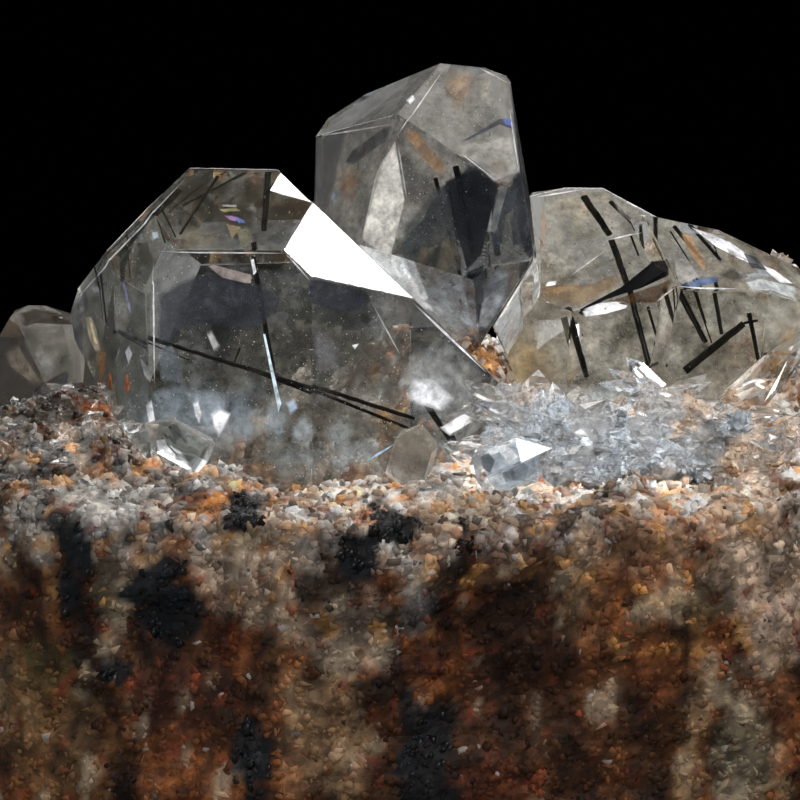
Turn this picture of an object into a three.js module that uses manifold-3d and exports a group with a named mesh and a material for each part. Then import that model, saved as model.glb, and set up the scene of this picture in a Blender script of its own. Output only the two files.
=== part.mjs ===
// Tourmalinated quartz: clear quartz crystals with black tourmaline needles sealed in them, grown on a
// block of granular rock that is cut off flat below.
// Millimetres. +Z is up, +X to the right and +Y to the back, seen from the side that shows best.
// The origin is at the middle of the flat cut.

import * as THREE from "three";
import { mergeVertices } from "three/addons/utils/BufferGeometryUtils.js";
import { ImprovedNoise } from "three/addons/math/ImprovedNoise.js";
import Module from "manifold-3d";

const wasm = await Module();
wasm.setup();

// ---- Driving dimensions

const GAP = 0.3; // kept between two pieces that touch
const ROCK_WIDTH = 68;
const ROCK_DEPTH = 42;
const ROCK_RIM = 25; // height of the front rim
const ROCK_SHELF = 28; // height of the shelf that the crystals stand on
const ROCK_BACK_FALL = 5; // the shelf falls by this much to the back
const ROCK_ROUNDING = 0.35; // 0 leaves the plan of the rock square, 0.5 makes it an ellipse
const ROCK_HUMPS = [
  { x: 0, y: 9.5, wide: 7.5, deep: 6.5, tall: 10 }, // under the centre crystal
  { x: 6.5, y: 5.5, wide: 3.5, deep: 5, tall: 4 },
  { x: 29, y: 11, wide: 6, deep: 6, tall: 5 }, // right bank
  { x: -24, y: -6, wide: 7, deep: 7, tall: 4.5 }, // left bank
];
const KNOB = { x: 27.8, y: 11, z: 31.8, wide: 5, tall: 9 }; // stands up behind the right crystals
const FRONT_PITS = [
  { x: 4, z: 15, wide: 7, tall: 5, deep: 0.09 },
  { x: -17, z: 18, wide: 4, tall: 4, deep: 0.07 },
  { x: 19, z: 10, wide: 5, tall: 4, deep: 0.07 },
];
const DRUSE_BED = { x: 16, y: -10.6, z: 28.2, wide: 9.6, deep: 3.4, tall: 3.2 };
const DRUSE_POINTS = 28;
const DRUSE_ROWS = 3;
const DRUSE_STEP = 0.62; // from one point to the next
const CRYSTAL_FOOT = 24.5; // the large crystals reach down into the rock to this height
const SIX_SIDES = 6; // of a quartz prism and of a tourmaline needle
const HEXAGON_FLAT = Math.cos(Math.PI / SIX_SIDES); // a hexagon's width over its flats, as a share
const EPSILON = 1e-6;

// ---- Solids

function solidOf(geometry) {
  const bare = geometry.clone();
  bare.deleteAttribute("normal");
  bare.deleteAttribute("uv");
  const merged = mergeVertices(bare, 1e-5);
  return new wasm.Manifold(
    new wasm.Mesh({
      numProp: 3,
      vertProperties: new Float32Array(merged.attributes.position.array),
      triVerts: new Uint32Array(merged.index.array),
    }),
  );
}

function geometryOf(solid) {
  const mesh = solid.getMesh();
  const geometry = new THREE.BufferGeometry();
  geometry.setAttribute("position", new THREE.BufferAttribute(mesh.vertProperties, 3));
  geometry.setIndex(new THREE.BufferAttribute(mesh.triVerts, 1));
  geometry.computeVertexNormals();
  return geometry;
}

function joined(solids) {
  return solids.reduce((whole, next) => whole.add(next));
}

function without(solid, cutters) {
  return cutters.reduce((rest, cutter) => rest.subtract(cutter), solid);
}

// A cut can leave loose crumbs: this keeps only the piece itself.
function largestPart(solid) {
  return solid.decompose().reduce((largest, part) => (part.volume() > largest.volume() ? part : largest));
}

// ---- Flat-faced crystals

// One natural face: it looks towards the compass turn (0 the front, 90 the right, 180 the back), leans
// up from the level by lean, in degrees, and lies through the point x, y, z.
function face(turn, lean, x, y, z) {
  const t = THREE.MathUtils.degToRad(turn);
  const l = THREE.MathUtils.degToRad(lean);
  const normal = new THREE.Vector3(Math.cos(l) * Math.sin(t), -Math.cos(l) * Math.cos(t), Math.sin(l));
  return new THREE.Plane().setFromNormalAndCoplanarPoint(normal, new THREE.Vector3(x, y, z));
}

function reversed(plane) {
  return plane.clone().negate();
}

function movedOut(plane, distance) {
  return new THREE.Plane(plane.normal.clone(), plane.constant - distance);
}

function meetingPoint(a, b, c) {
  const rows = [a.normal, b.normal, c.normal];
  const matrix = new THREE.Matrix3().set(...rows.flatMap((n) => n.toArray()));
  if (Math.abs(matrix.determinant()) < EPSILON) {
    return null;
  }
  return new THREE.Vector3(-a.constant, -b.constant, -c.constant).applyMatrix3(matrix.invert());
}

// The corners of the space behind all the faces.
function cornersOf(faces) {
  const corners = [];
  faces.forEach((a, i) => {
    faces.slice(i + 1).forEach((b, j) => {
      faces.slice(i + j + 2).forEach((c) => {
        const point = meetingPoint(a, b, c);
        const inside = point && faces.every((f) => f.distanceToPoint(point) < EPSILON);
        if (inside && corners.every((other) => other.distanceTo(point) > 1e-4)) {
          corners.push(point);
        }
      });
    });
  });
  return corners;
}

// A crystal is the space behind all of its faces, each of them moved out by grow.
function crystal(faces, grow = 0) {
  const grown = faces.map((f) => movedOut(f, grow));
  const corners = cornersOf(grown);
  const triangles = [];
  grown.forEach((f) => {
    const ring = corners.map((p, i) => ({ p, i })).filter(({ p }) => Math.abs(f.distanceToPoint(p)) < 1e-4);
    if (ring.length < 3) {
      return;
    }
    const centre = ring.reduce((sum, { p }) => sum.add(p), new THREE.Vector3()).divideScalar(ring.length);
    const across = ring[0].p.clone().sub(centre).normalize();
    const up = f.normal.clone().cross(across);
    const angle = ({ p }) => Math.atan2(p.clone().sub(centre).dot(up), p.clone().sub(centre).dot(across));
    ring.sort((a, b) => angle(a) - angle(b));
    for (let k = 1; k + 1 < ring.length; k++) {
      triangles.push(ring[0].i, ring[k].i, ring[k + 1].i);
    }
  });
  const geometry = new THREE.BufferGeometry();
  const places = corners.flatMap((p) => p.toArray());
  geometry.setAttribute("position", new THREE.Float32BufferAttribute(places, 3));
  geometry.setIndex(triangles);
  return solidOf(geometry);
}

// ---- Rods: tourmaline needles, and small quartz crystals with six sides and a point

function rod(profile, from, to, sides) {
  const geometry = new THREE.LatheGeometry(profile, sides);
  const along = to.clone().sub(from).normalize();
  geometry.applyQuaternion(new THREE.Quaternion().setFromUnitVectors(new THREE.Vector3(0, 1, 0), along));
  geometry.translate(from.x, from.y, from.z);
  return solidOf(geometry);
}

// A needle from one end to the other, thick across at its foot, slightly thinner at its blunt point.
function needle({ from, to, thick }) {
  const length = from.distanceTo(to);
  const profile = [
    new THREE.Vector2(0, 0),
    new THREE.Vector2(thick / 2, 0),
    new THREE.Vector2(0.42 * thick, length - 0.4 * thick),
    new THREE.Vector2(0, length),
  ];
  return rod(profile, from, to, SIX_SIDES);
}

// The room for a needle inside its crystal, with the gap all round.
function needlePocket({ from, to, thick }) {
  const length = from.distanceTo(to);
  const reach = thick / 2 + GAP / HEXAGON_FLAT;
  const profile = [
    new THREE.Vector2(0, -GAP),
    new THREE.Vector2(reach, -GAP),
    new THREE.Vector2(reach, length + GAP),
    new THREE.Vector2(0, length + GAP),
  ];
  return rod(profile, from, to, SIX_SIDES);
}

// A small quartz crystal that stands on its foot, with a pyramid for its last third.
function smallQuartz(foot, turn, lean, length, wide, grow = 0) {
  const t = THREE.MathUtils.degToRad(turn);
  const l = THREE.MathUtils.degToRad(lean);
  const along = new THREE.Vector3(Math.cos(l) * Math.sin(t), -Math.cos(l) * Math.cos(t), Math.sin(l));
  const tip = foot.clone().addScaledVector(along, length);
  const reach = wide / 2 + grow / HEXAGON_FLAT;
  const profile = [
    new THREE.Vector2(0, -grow),
    new THREE.Vector2(reach, -grow),
    new THREE.Vector2(reach, 0.66 * length + grow),
    new THREE.Vector2(0, length + 2 * grow),
  ];
  return rod(profile, foot, tip, SIX_SIDES);
}

// ---- The large crystals

const footFace = face(0, -90, 0, 0, CRYSTAL_FOOT);

// Left: a broad crystal lying on its side, with a tall front of two faces.
const mirrorFacet = { turn: 20.5, lean: 30 }; // the facet that mirrors the light, and the step beside it
const leftFaces = [
  face(-5, 7, -10, -12.3, 34), // front, left part
  face(14.5, 7, -6, -12.65, 34), // front, right part
  face(-5, 42, -12, -11.05, 42.8), // upper front
  face(mirrorFacet.turn, mirrorFacet.lean, -7.9, -11.4, 42.75),
  face(-34, 23, -15.3, -10.8, 42.8), // shoulder
  face(-42, 4, -17.2, -11.67, 34), // left of the front
  face(-62, 2, -19.6, -9.5, 34),
  face(-95, 22, -22.7, -4, 39.4), // left end
  face(-93, -12, -23.1, -4, 36.7),
  face(-95, -38, -20.4, -5, 32.5),
  face(-97, 44, -17.8, -6, 44.85), // upper left
  face(170, 78, -12, -6.6, 48.2), // top
  face(97, 50, -7, -6, 46.9),
  face(98, 45.5, 0.84, -10.2, 39.5), // right slope
  face(96, 38, 6.2, -8, 34.2),
  face(92, 0, 7.8, -8, 32), // right end
  face(90, -40, 7.8, -8, 30.9),
  face(50, -20, 4, -10.5, 30.5),
  face(176, -5, -8, 2.2, 36), // back
  face(138, -4, 2.6, -1, 36),
  face(-150, 10, -17, 1.5, 38),
  face(178, 42, -10, 0.6, 43),
  footFace,
];

// The growth step above the right slope: what lies above both of these faces is missing.
const leftStep = [
  face(mirrorFacet.turn, mirrorFacet.lean, -8.9, -7.8, 46.6),
  face(110, 74, -7.8, -7.5, 46.3),
];

// Centre: a tall stout crystal with a point at both ends.
const centreFaces = [
  face(10, 45, -0.2, 4.2, 51.5), // large upper face
  face(-65, 52.5, -0.2, 4.2, 51.5), // narrow upper left face
  face(-52, 12.8, -0.2, 4.2, 51.5), // left side
  face(-22, 6.5, 2.5, 2.5, 46.5), // front
  face(26, 2.6, 6.7, 0.85, 46.8), // front, right part
  face(85, 10, 8.2, 5, 51.1), // right side
  face(95, 70, 6.6, 8, 54.5),
  face(98, -26, 9.9, 3, 42.5), // lower right
  face(30, -36, 5.5, 1.4, 39), // lower front, right
  face(-35, -38, 2, 3.2, 39.5), // lower front, left
  face(175, 58, 4, 8.3, 54.95), // top
  face(178, -4, 2, 14.5, 44), // back
  face(128, 4, 8, 9, 44),
  face(-118, -8, -6.2, 11, 49.4), // back left
  face(-160, 35, -4, 13, 51.5),
  face(180, -40, 2, 12, 37),
  face(0, -90, 0, 0, 34),
];

// Right: two crystals grown through each other, the near one with two low spurs on its left.
const nearFront = [
  face(0, 48, 14, -7, 38.2), // large upper face
  face(-22, 2, 11.9, -7, 38.2), // front, left part
  face(11, 0, 11.9, -7, 38.2), // front, middle
];
const rightNearFaces = [
  ...nearFront,
  face(41, 7, 17.9, -5.8, 38.7), // front, right part
  face(-95, -10, 8.6, 5, 51.1), // left side, along the centre crystal
  face(178, 72, 13, 1.8, 46.4), // top
  face(-80, 78, 12, 0, 46.3),
  face(96, 61, 16.5, 0, 45.3),
  face(80, 10, 19.5, 0, 42), // right side
  face(178, -3, 14, 9, 38), // back
  footFace,
];
const rightSpurFaces = [
  ...nearFront,
  face(-75, 38, 9.4, -5, 38.9),
  face(-88, 4, 8.3, -4, 34),
  face(176, 30, 11, 2, 37),
  face(80, 0, 14, 0, 34),
  footFace,
];
const rightLowFaces = [
  ...nearFront,
  face(-82, 26, 10.19, 3.04, 42.36), // along the overhang of the centre crystal
  face(210, 36, 5.63, 1.18, 38.81),
  face(-88, -20, 7.4, -4, 35),
  face(80, 0, 14, 0, 34),
  face(178, -3, 14, 9, 38),
  footFace,
];
const rightFarFaces = [
  face(6, 50, 22, -7.2, 39.7), // upper face
  face(60, 52, 24.6, -3, 41.9), // bright upper right face
  face(3, 1, 22, -7.2, 39.7), // front
  face(36, -2, 26, -6.6, 38), // front, right part
  face(-40, 60, 19, -3.2, 44.6), // upper left
  face(-60, 10, 17.5, -4, 40),
  face(150, 62, 21.6, -2.2, 43.7), // top
  face(85, 12, 28.8, -2, 38), // right end
  face(62, -44, 27.4, -5, 36.1), // lower right
  face(178, -2, 22, 5.5, 38), // back
  face(135, 10, 27, 3, 38),
  footFace,
];

// Far left, behind the large left crystal: a stout smoky crystal.
const farLeftFaces = [
  face(14, 27, -25.3, 0.1, 32.5),
  face(0, 55, -26.4, 2.2, 36.8),
  face(-40, 0, -25.3, 0.1, 32.5),
  face(14, -5, -26.6, -0.4, 34.5),
  face(60, 24, -23.4, 2, 37),
  face(85, 0, -22.4, 3, 33),
  face(90, 69, -24, 3, 37.2),
  face(-80, 63, -27.8, 3, 37.2),
  face(-90, 31, -28.7, 3, 35.7),
  face(-80, -4, -30.6, 2, 33),
  face(178, 60, -26, 3.4, 37.9),
  face(180, 0, -26, 8, 33),
  face(0, -90, 0, 0, 26),
];

// ---- The needles: from, to and thickness

function span(x1, y1, z1, x2, y2, z2, thick) {
  return { from: new THREE.Vector3(x1, y1, z1), to: new THREE.Vector3(x2, y2, z2), thick };
}

const leftNeedles = [
  span(-9.1, -4.8, 47.3, -9.3, -5.8, 42.6, 0.5),
  span(-10, -6.5, 41.9, -8.1, -9.4, 31.3, 0.4),
  span(-18.9, -7.2, 36.9, 0.8, -8.5, 30.9, 0.36),
  span(-10.5, -7.1, 34.3, 0.6, -8.3, 30.1, 0.26),
  span(1.2, -7.9, 32.4, 3.4, -8.7, 29.3, 0.5),
  span(-15.2, -5, 46, -19, -6.1, 41.6, 0.55),
  span(-12.6, -5, 47.1, -15.1, -6, 42.5, 0.26),
  span(-10.7, -4.3, 47.1, -15, -5, 44.6, 0.26),
  span(-20.4, -6.1, 40.8, -19.8, -6.8, 37.4, 0.3),
];

const centreNeedles = [
  span(3.1, 6.6, 46.7, 5.9, 7, 37, 0.36),
  span(4.7, 7.1, 47.5, 6.1, 6.6, 41.2, 0.5),
];

const rightNeedles = [
  span(13.1, 2.2, 45.4, 14.8, -0.9, 43, 0.6),
  span(14.9, -1, 42.6, 17.4, -4.8, 34.1, 0.5),
  span(11.7, -4.8, 37.7, 12.9, -4.6, 33.5, 0.5),
  span(15, 2, 45, 16.9, -0.4, 43.3, 0.4),
  span(18, 0.4, 43.6, 17.9, -1.2, 41.6, 0.36),
  span(20.4, -0.6, 43.3, 22.4, -3.2, 41, 0.34),
  span(19.4, -3.6, 39.5, 21.3, -4.3, 35.9, 0.5),
  span(21.9, -3.6, 39.3, 22.4, -4.4, 36.5, 0.34),
  span(19.8, -5.6, 34, 23.9, -5.3, 37.3, 0.6),
  span(24.3, -4.5, 38, 25, -4.6, 34.5, 0.34),
  span(19.3, -0.6, 43.1, 21.1, -2.6, 40.7, 0.34),
  span(20.6, -3.4, 39.4, 21.3, -3.2, 37.2, 0.2),
  span(17.2, -4.3, 38.4, 18.3, -4.5, 34.8, 0.22),
];

// ---- Parting a clear solid around the needles sealed in it

function partedHalves(crystals, steps, parting, needles) {
  const pockets = needles.map(needlePocket);
  const half = (plane) => {
    const cut = movedOut(plane, -GAP / 2);
    const whole = joined(crystals.map((faces) => crystal([...faces, cut])));
    return largestPart(without(whole, [...steps, ...pockets]));
  };
  return { front: half(reversed(parting)), back: half(parting) };
}

// The block that a growth step takes off a crystal: behind the crystal's outline, outside of the step.
function stepBlock(faces, step) {
  return crystal([...faces.map((f) => movedOut(f, 1)), ...step.map(reversed)]);
}

// The parting faces look to the front, so the solid behind them is the back half.
const leftParting = face(0, 12, -8, -7.2, 36);
const centreParting = face(0, 0, 2, 6.8, 44);
const rightParting = face(0, 38, 16, -4.4, 38.2);

const left = partedHalves([leftFaces], [stepBlock(leftFaces, leftStep)], leftParting, leftNeedles);
const centre = partedHalves([centreFaces], [], centreParting, centreNeedles);
const rightCrystals = [rightNearFaces, rightSpurFaces, rightLowFaces, rightFarFaces];
const right = partedHalves(rightCrystals, [], rightParting, rightNeedles);

const largeFaces = [leftFaces, centreFaces, ...rightCrystals, farLeftFaces];
const roomForLarge = largeFaces.map((faces) => crystal(faces, GAP));

// ---- Small crystals on the rim, and the druse between them

function rimCrystals(grow) {
  const at = (x, y, z) => new THREE.Vector3(x, y, z);
  return {
    rim_quartz_left: smallQuartz(at(-13.3, -13.8, 28.9), -75, 30, 4.8, 2.9, grow),
    rim_quartz_middle: smallQuartz(at(0.5, -13.8, 27.6), 30, 62, 4.2, 3.1, grow),
    rim_quartz_right: smallQuartz(at(5.8, -14.2, 27.6), 70, 24, 5.2, 3.8, grow),
  };
}

// A lumpy bed with rows of small points on it, turned and leaning every way.
function druse(grow) {
  const { x, y, z, wide, deep, tall } = DRUSE_BED;
  const bed = new THREE.IcosahedronGeometry(1, 2);
  bed.scale(wide + grow, deep + grow, tall + grow);
  bed.translate(x, y, z);
  const points = [];
  for (let i = 0; i < DRUSE_POINTS; i++) {
    const row = i % DRUSE_ROWS;
    const foot = new THREE.Vector3(x - 8 + DRUSE_STEP * i, y + 1.4 - 1.8 * row, z + 1 - 0.9 * row);
    const turn = 70 * Math.sin(2.3 * i);
    const lean = 45 + 35 * Math.sin(1.7 * i + 1);
    const length = 4.6 + 0.9 * Math.sin(3.1 * i);
    const thick = 1.9 + 0.4 * Math.cos(1.3 * i);
    points.push(smallQuartz(foot, turn, lean, length, thick, grow));
  }
  return joined([solidOf(bed), ...points]);
}

const rimPieces = rimCrystals(0);
const roomForRim = Object.values(rimCrystals(GAP));
const druseCrust = largestPart(without(druse(0), [...roomForLarge, ...roomForRim]));

// ---- The rock

const noise = new ImprovedNoise();

function rough(x, y, z, size) {
  return noise.noise(x / size + 7.3, y / size + 1.9, z / size + 4.1);
}

function hill(x, y, atX, atY, wideX, wideY) {
  return Math.exp(-(((x - atX) / wideX) ** 2) - ((y - atY) / wideY) ** 2);
}

function topHeight(x, y) {
  const shelf = THREE.MathUtils.smoothstep(y, -ROCK_DEPTH / 2, -ROCK_DEPTH / 2 + 9);
  const back = THREE.MathUtils.smoothstep(y, 6, ROCK_DEPTH / 2);
  const height = THREE.MathUtils.lerp(ROCK_RIM, ROCK_SHELF, shelf) - ROCK_BACK_FALL * back;
  const humps = ROCK_HUMPS.reduce((sum, h) => sum + h.tall * hill(x, y, h.x, h.y, h.wide, h.deep), 0);
  const lumps = (1.3 + 1.6 * back) * rough(x, y, 0, 5.5) + 0.8 * rough(x, y, 9, 2.6);
  return height + humps + lumps;
}

// How far a wall of the rock stands out of its plain block, as a share of its distance from the middle.
function wallRelief(x, y, z) {
  const broken = 0.16 * rough(x, y, z, 19) + 0.06 * rough(x, y, z, 6.5);
  const ledges = 0.014 * Math.sin(0.9 * z + 5 * rough(x, y, 0, 14));
  const pits = FRONT_PITS.reduce((sum, p) => sum + p.deep * hill(x, z, p.x, p.z, p.wide, p.tall), 0);
  const front = THREE.MathUtils.smoothstep(-y, 0, 12);
  return (1 - 0.4 * front) * broken + ledges - front * pits;
}

// The knob is a rough ball, drawn out upwards.
function knob() {
  const geometry = new THREE.IcosahedronGeometry(1, 2);
  const place = geometry.attributes.position;
  const point = new THREE.Vector3();
  for (let i = 0; i < place.count; i++) {
    point.fromBufferAttribute(place, i);
    point.multiplyScalar(1 + 0.35 * rough(6 * point.x, 6 * point.y, 6 * point.z, 6));
    const slope = 1 - 0.3 * point.z; // narrower at its top
    const across = KNOB.wide * slope;
    place.setXYZ(i, KNOB.x + across * point.x, KNOB.y + across * point.y, KNOB.z + KNOB.tall * point.z);
  }
  return solidOf(geometry);
}

// The rock is a block with round corners, narrower at its foot, with lumps, ledges and pits on its walls.
function rock() {
  const geometry = new THREE.BoxGeometry(2, 2, 1, 28, 18, 11);
  const place = geometry.attributes.position;
  for (let i = 0; i < place.count; i++) {
    const u = place.getX(i);
    const v = place.getY(i);
    const h = place.getZ(i) + 0.5;
    const x = (ROCK_WIDTH / 2) * u * Math.sqrt(1 - ROCK_ROUNDING * v * v);
    const y = (ROCK_DEPTH / 2) * v * Math.sqrt(1 - ROCK_ROUNDING * u * u);
    const z = h * topHeight(x, y);
    const outwards = Math.max(Math.abs(u), Math.abs(v)) ** 6; // 1 on the walls, next to nothing on the top
    const push = 1 + outwards * (wallRelief(x, y, z) - 0.05 * (1 - h) ** 2);
    place.setXYZ(i, x * push, y * push, z);
  }
  return solidOf(geometry).add(knob());
}

const matrixRock = largestPart(without(rock(), [...roomForLarge, ...roomForRim, druse(GAP)]));

// ---- Materials

function finish(settings) {
  return new THREE.MeshStandardMaterial({ metalness: 0, flatShading: true, ...settings });
}

const clearQuartz = finish({ color: 0xe6e8ea, roughness: 0.04, opacity: 0.4 });
const smokyQuartz = finish({ color: 0xb5a594, roughness: 0.08 });
const tourmaline = finish({ color: 0x0b0d0c, roughness: 0.3 });
const granularRock = finish({ color: 0xb99a80, roughness: 0.85 });

// ---- The object

const specimen = new THREE.Group();

function piece(name, solid, material) {
  const mesh = new THREE.Mesh(geometryOf(solid), material);
  mesh.name = name;
  specimen.add(mesh);
}

piece("matrix_rock", matrixRock, granularRock);
piece("left_quartz_front_half", left.front, clearQuartz);
piece("left_quartz_back_half", left.back, clearQuartz);
piece("centre_quartz_front_half", centre.front, clearQuartz);
piece("centre_quartz_back_half", centre.back, clearQuartz);
piece("right_quartz_front_half", right.front, clearQuartz);
piece("right_quartz_back_half", right.back, clearQuartz);
piece("far_left_quartz", crystal(farLeftFaces), smokyQuartz);
piece("druse_crust", druseCrust, clearQuartz);
for (const [name, solid] of Object.entries(rimPieces)) {
  piece(name, without(solid, roomForLarge), clearQuartz);
}
const sealed = { left: leftNeedles, centre: centreNeedles, right: rightNeedles };
for (const [where, needles] of Object.entries(sealed)) {
  needles.forEach((n, i) => piece(`${where}_needle_${i + 1}`, needle(n), tourmaline));
}

export default specimen;
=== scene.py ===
import math

import bmesh
import bpy
import numpy as np
from mathutils import Matrix, Vector, noise


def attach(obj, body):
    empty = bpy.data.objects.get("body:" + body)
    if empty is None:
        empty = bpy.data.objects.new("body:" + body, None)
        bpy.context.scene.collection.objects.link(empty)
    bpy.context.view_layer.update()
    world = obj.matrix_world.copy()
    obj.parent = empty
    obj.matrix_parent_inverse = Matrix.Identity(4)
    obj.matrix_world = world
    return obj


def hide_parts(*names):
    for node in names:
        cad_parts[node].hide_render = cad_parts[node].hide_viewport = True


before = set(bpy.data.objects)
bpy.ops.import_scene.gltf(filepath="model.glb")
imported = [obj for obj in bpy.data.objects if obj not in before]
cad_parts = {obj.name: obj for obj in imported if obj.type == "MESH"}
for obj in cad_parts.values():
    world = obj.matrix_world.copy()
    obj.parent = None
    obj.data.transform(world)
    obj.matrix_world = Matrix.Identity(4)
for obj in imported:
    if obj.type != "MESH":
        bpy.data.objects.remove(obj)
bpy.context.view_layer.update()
MM = 0.001


# ---- The studio
# The specimen stands on a pale round table top in a dark room, so that the clear crystals read against
# the dark. Soft boxes light it: a strong one high at the right, whose mirror image fills the bright
# facets, one behind for the rims, and weak wide ones that fill the front.

TABLE_RADIUS = 195 * MM
VIEW_CENTRE = Vector((0, -5, 31.85)) * MM
VIEW_DISTANCE = 300 * MM
VIEW_WIDTH = 56 * MM  # what the view takes in at its centre
VIEW_HEIGHT_ANGLE = math.radians(6)


def new_material(name):
    """A new material, with its node tree and its shader."""
    material = bpy.data.materials.new(name)
    material.use_nodes = True
    return material, material.node_tree, material.node_tree.nodes["Principled BSDF"]


def plain_material(name, colour, roughness):
    material, _, shader = new_material(name)
    shader.inputs["Base Color"].default_value = (*colour, 1)
    shader.inputs["Roughness"].default_value = roughness
    return material


def soft_box(name, place, aim, width, height, watts, colour=(1, 1, 1)):
    light = bpy.data.lights.new(name, "AREA")
    light.shape = "RECTANGLE"
    light.size = width * MM
    light.size_y = height * MM
    light.energy = watts
    light.color = colour
    lamp = bpy.data.objects.new(name, light)
    bpy.context.collection.objects.link(lamp)
    lamp.location = Vector(place) * MM
    lamp.rotation_euler = (Vector(place) - Vector(aim)).to_track_quat("Z", "Y").to_euler()


bpy.ops.object.select_all(action="DESELECT")
bpy.ops.mesh.primitive_circle_add(vertices=128, radius=TABLE_RADIUS, fill_type="NGON", location=(0, 0, 0))
table = bpy.context.object
table.name = "table_top"
table_finish = plain_material("pale_table", (0.34, 0.335, 0.325), 0.6)
table.data.materials.append(table_finish)

bpy.ops.mesh.primitive_plane_add(size=1, location=(0, 500 * MM, 12 * MM), rotation=(math.pi / 2, 0, 0))
black_card = bpy.context.object
black_card.name = "black_card"
black_card.scale = (180 * MM, 130 * MM, 1)
bpy.ops.object.transform_apply(location=True, rotation=True, scale=True)
black_felt = plain_material("black_felt", (0.0002, 0.0002, 0.0002), 1)
black_felt.node_tree.nodes["Principled BSDF"].inputs["Specular IOR Level"].default_value = 0
black_card.data.materials.append(black_felt)

soft_box("key_box", (167, -143, 316), (-6, -10, 40), 64, 64, 0.5, (1, 0.97, 0.94))
soft_box("glint_box", (150, 265, 223), (22, -3, 42), 46, 46, 0.2, (0.93, 0.97, 1))
soft_box("back_panel", (28, 330, 270), (4, 0, 32), 290, 240, 0.89, (0.96, 0.98, 1))
soft_box("back_left_panel", (-220, 170, 230), (-8, 0, 34), 160, 140, 0.35, (1, 0.96, 0.9))
soft_box("left_fill", (-330, -150, 120), (0, -5, 28), 200, 220, 0.12, (0.9, 0.95, 1))
soft_box("front_fill", (40, -420, 230), (0, -10, 28), 260, 140, 0.42)

world = bpy.data.worlds.new("dark_room")
world.use_nodes = True
world.node_tree.nodes["Background"].inputs["Color"].default_value = (0.035, 0.036, 0.038, 1)
bpy.context.scene.world = world

camera_data = bpy.data.cameras.new("camera")
camera_data.sensor_width = 36
camera_data.lens = 36 * VIEW_DISTANCE / VIEW_WIDTH
camera_data.clip_start = 10 * MM
camera = bpy.data.objects.new("camera", camera_data)
bpy.context.collection.objects.link(camera)
back_from_centre = Vector((0, -math.cos(VIEW_HEIGHT_ANGLE), math.sin(VIEW_HEIGHT_ANGLE)))
camera.location = VIEW_CENTRE + VIEW_DISTANCE * back_from_centre
camera.rotation_euler = (math.pi / 2 - VIEW_HEIGHT_ANGLE, 0, 0)
bpy.context.scene.camera = camera
bpy.context.scene.view_settings.view_transform = "Standard"


# ---- The rock
# A block of fine granular rock: grains of grey and beige quartz and feldspar in a brown cement, stained
# by rust that ran down its sides, with nests of dark mica. It is rebuilt finer from its solid: grain
# relief first, and then loose-edged grains set into it all over.

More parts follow.
